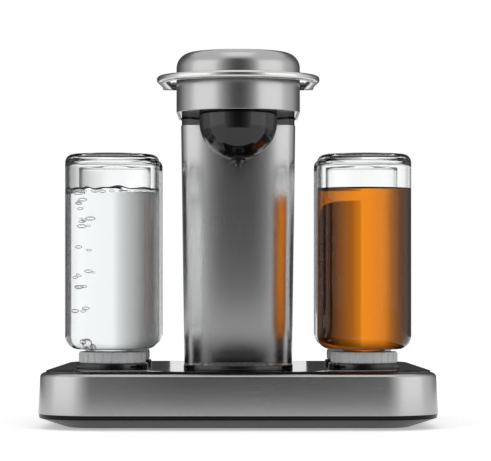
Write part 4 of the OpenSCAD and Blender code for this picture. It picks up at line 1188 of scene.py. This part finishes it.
# Each lamp: name, azimuth and elevation in degrees, distance, width and height in metres, brightness.
LAMPS = (
    ("softbox_left", 64.0, 10.0, 1.7, (1.6, 1.4), 0.65),
    ("softbox_right", -62.0, 10.0, 1.7, (1.6, 1.4), 0.65),
    ("softbox_top", 0.0, 78.0, 1.6, (0.9, 0.9), 0.6),
)

# Each curved card: name, radius in metres, (azimuth in degrees, brightness) stops, height, what sees it.
ROUND_CARDS = (
    ("card_front", 0.8,
     ((-34.0, 1.0), (-22.0, 0.36), (-8.0, 0.1), (8.0, 0.12), (22.0, 0.42), (34.0, 1.0)), 1.0, Sight.GLOSS),
    ("card_side_left", 1.4,
     ((94.0, 1.0), (115.0, 0.6), (130.0, 0.2), (150.0, 0.06), (176.0, 0.06)), 1.4, Sight.GLOSS),
    ("card_side_right", 1.4,
     ((-176.0, 0.05), (-148.0, 0.08), (-130.0, 0.3), (-115.0, 0.75), (-94.0, 1.0)), 1.4, Sight.GLOSS),
    ("card_back_left", 1.8,
     ((100.0, 0.03), (140.0, 0.06), (154.0, 0.2), (163.0, 0.45), (169.0, 0.7), (173.0, 1.0)), 1.5,
     Sight.GLASS),
)

# The flat card behind the amber bottle: X in metres and brightness along it, its Y and its height.
BEHIND_RIGHT_GLOW = ((0.138, 0.75), (0.169, 0.4), (0.213, 0.26), (0.273, 0.07), (0.36, 0.02), (1.4, 0.02))
BEHIND_RIGHT_Y = 0.35
BEHIND_RIGHT_HEIGHT = 0.206


@dataclass(frozen=True)
class Studio:
    """Floor, backdrop, lamps, cards and the camera."""

    camera_distance: float = 2.1
    camera_height: float = 0.1244
    lens: float = 178.6
    shift_x: float = 0.0149
    shift_y: float = 0.0947
    fill: float = 0.7
    floor_glow: float = 0.4

    def shown(self, graph: Graph) -> Value:
        """1 where the camera, gloss or glass looks, 0 for diffuse light."""
        paths = [graph.node("ShaderNodeLightPath", output=name)
                 for name in ("Is Camera Ray", "Is Glossy Ray", "Is Transmission Ray")]
        return (paths[0] + paths[1] + paths[2]).at_most(1.0)

    def world(self) -> None:
        """White to the camera, glass and gloss; softer fill for diffuse light."""
        world = bpy.data.worlds.new("studio")
        bpy.context.scene.world = world
        world.use_nodes = True
        graph = Graph(world.node_tree)
        strength = self.shown(graph) * (1.0 - self.fill) + self.fill
        back = graph.node("ShaderNodeBackground", None, {"Color": (1.0, 1.0, 1.0), "Strength": strength})
        end = graph.tree.nodes.new("ShaderNodeOutputWorld")
        graph.tree.links.new(back.socket, end.inputs["Surface"])

    def floor(self) -> None:
        """Wide matt sheet that the object's shadow falls on."""
        half = 4.0
        mesh = bpy.data.meshes.new("floor")
        corners = [(-half, -half, 0), (half, -half, 0), (half, half, 0), (-half, half, 0)]
        mesh.from_pydata(corners, [], [(0, 1, 2, 3)])
        made = bpy.data.objects.new("floor", mesh)
        bpy.context.scene.collection.objects.link(made)
        material = bpy.data.materials.new("paper_floor")
        material.use_nodes = True
        graph = Graph(material.node_tree)
        matt = graph.node("ShaderNodeBsdfDiffuse", None, {"Color": (0.9, 0.9, 0.9)})
        glow = graph.node("ShaderNodeEmission", None,
                          {"Color": (1.0, 1.0, 1.0), "Strength": self.shown(graph) * self.floor_glow})
        graph.surface(graph.node("ShaderNodeAddShader", None, {0: matt, 1: glow}))
        mesh.materials.append(material)

    def lamp(self, name: str, azimuth: float, elevation: float, distance: float,
             size: tuple[float, float], radiance: float) -> None:
        """A softbox that faces the object.

        Args:
            name: the lamp's name.
            azimuth: degrees from the camera's side towards -X.
            elevation: degrees above the level of the aim.
            distance: metres from the aim.
            size: width and height in metres.
            radiance: brightness of its face, where 1 is white.
        """
        data = bpy.data.lights.new(name, "AREA")
        data.shape = "RECTANGLE"
        data.size, data.size_y = size
        data.energy = radiance * math.pi * size[0] * size[1]
        made = bpy.data.objects.new(name, data)
        a, e = math.radians(azimuth), math.radians(elevation)
        aim = (0.0, 0.0, 0.16)
        made.location = (-distance * math.sin(a) * math.cos(e), -distance * math.cos(a) * math.cos(e),
                         aim[2] + distance * math.sin(e))
        made.rotation_euler = (math.pi / 2.0 - e, 0.0, -a)
        bpy.context.scene.collection.objects.link(made)

    def card(self, name: str, plan: Array, glow: Sequence[float], height: float, sight: Sight) -> None:
        """An upright card of varying brightness that only gloss or only glass can see.

        Args:
            name: the card's name.
            plan: rows of X and Y along its foot, in metres.
            glow: its brightness at each row.
            height: metres high, from the floor.
            sight: what sees it.
        """
        count = len(plan)
        points = np.zeros((2, count, 3))
        points[:, :, :2] = plan
        points[1, :, 2] = height
        mesh = bpy.data.meshes.new(name)
        mesh.from_pydata(points.reshape(-1, 3), [], grid_quads(2, count, False, False).tolist())
        colours = np.ones((2, count, 4))
        colours[:, :, :3] = np.asarray(glow, float)[None, :, None]
        layer = mesh.color_attributes.new("glow", "FLOAT_COLOR", "POINT")
        layer.data.foreach_set("color", colours.ravel())
        made = bpy.data.objects.new(name, mesh)
        bpy.context.scene.collection.objects.link(made)
        material = bpy.data.materials.new(name)
        material.use_nodes = True
        graph = Graph(material.node_tree)
        shade = graph.node("ShaderNodeAttribute", {"attribute_name": "glow"}, output="Color")
        graph.surface(graph.node("ShaderNodeEmission", None, {"Color": shade, "Strength": 1.0}))
        mesh.materials.append(material)
        made.visible_camera = False
        made.visible_diffuse = False
        made.visible_shadow = False
        made.visible_glossy = sight is Sight.GLOSS
        made.visible_transmission = sight is Sight.GLASS

    def round_card(self, name: str, radius: float, stops: Sequence[tuple[float, float]], height: float,
                   sight: Sight) -> None:
        """A curved card round the object: radius * (-sin a, -cos a), with its brightness between the stops.

        Args:
            name: the card's name.
            radius: metres from the object's axis.
            stops: azimuth in degrees from the camera's side towards -X, and brightness.
            height: metres high.
            sight: what sees it.
        """
        known, level = np.array(stops, float).T
        a = np.linspace(known[0], known[-1], 41)
        turn = np.radians(a)
        plan = radius * np.stack([-np.sin(turn), -np.cos(turn)], 1)
        self.card(name, plan, np.interp(a, known, level), height, sight)

    def camera(self) -> None:
        """Camera at the photograph's height, level, with its frame shifted."""
        data = bpy.data.cameras.new("camera")
        data.sensor_width = 36.0
        data.lens = self.lens
        data.shift_x, data.shift_y = self.shift_x, self.shift_y
        data.clip_end = 50.0
        made = bpy.data.objects.new("camera", data)
        made.location = (0.0, -self.camera_distance, self.camera_height)
        made.rotation_euler = (math.pi / 2.0, 0.0, 0.0)
        bpy.context.scene.collection.objects.link(made)
        bpy.context.scene.camera = made

    def build(self) -> None:
        """Sets up the whole studio."""
        self.camera()
        self.world()
        self.floor()
        for lamp in LAMPS:
            self.lamp(*lamp)
        for card in ROUND_CARDS:
            self.round_card(*card)
        glow_at = np.array(BEHIND_RIGHT_GLOW)
        plan = np.stack([glow_at[:, 0], np.full(len(glow_at), BEHIND_RIGHT_Y)], 1)
        self.card("card_behind_right", plan, glow_at[:, 1], BEHIND_RIGHT_HEIGHT, Sight.GLASS)
        bpy.context.scene.view_settings.view_transform = "Standard"


def main() -> None:
    """Builds the studio and the dispenser's pieces in order."""
    logging.basicConfig(level=logging.INFO, format="%(message)s")
    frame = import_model()
    Studio().build()
    Base().build(frame)
    fills = {"front_left": Fill.CLEAR, "front_right": Fill.AMBER}
    for place in PLACES:
        depth, side = place.split("_")
        centre = (-105.9 if side == "left" else 105.9, -50.0 if depth == "front" else 38.0)
        BottleSet(place, centre, fills.get(place, Fill.EMPTY)).build(frame)
    Tank().build(frame)
    DripTray().build(frame)
    FluidPath().build(frame)
    Column().build(frame)
    Head().build(frame)
    Lid().build(frame)


if __name__ == "__main__":
    main()
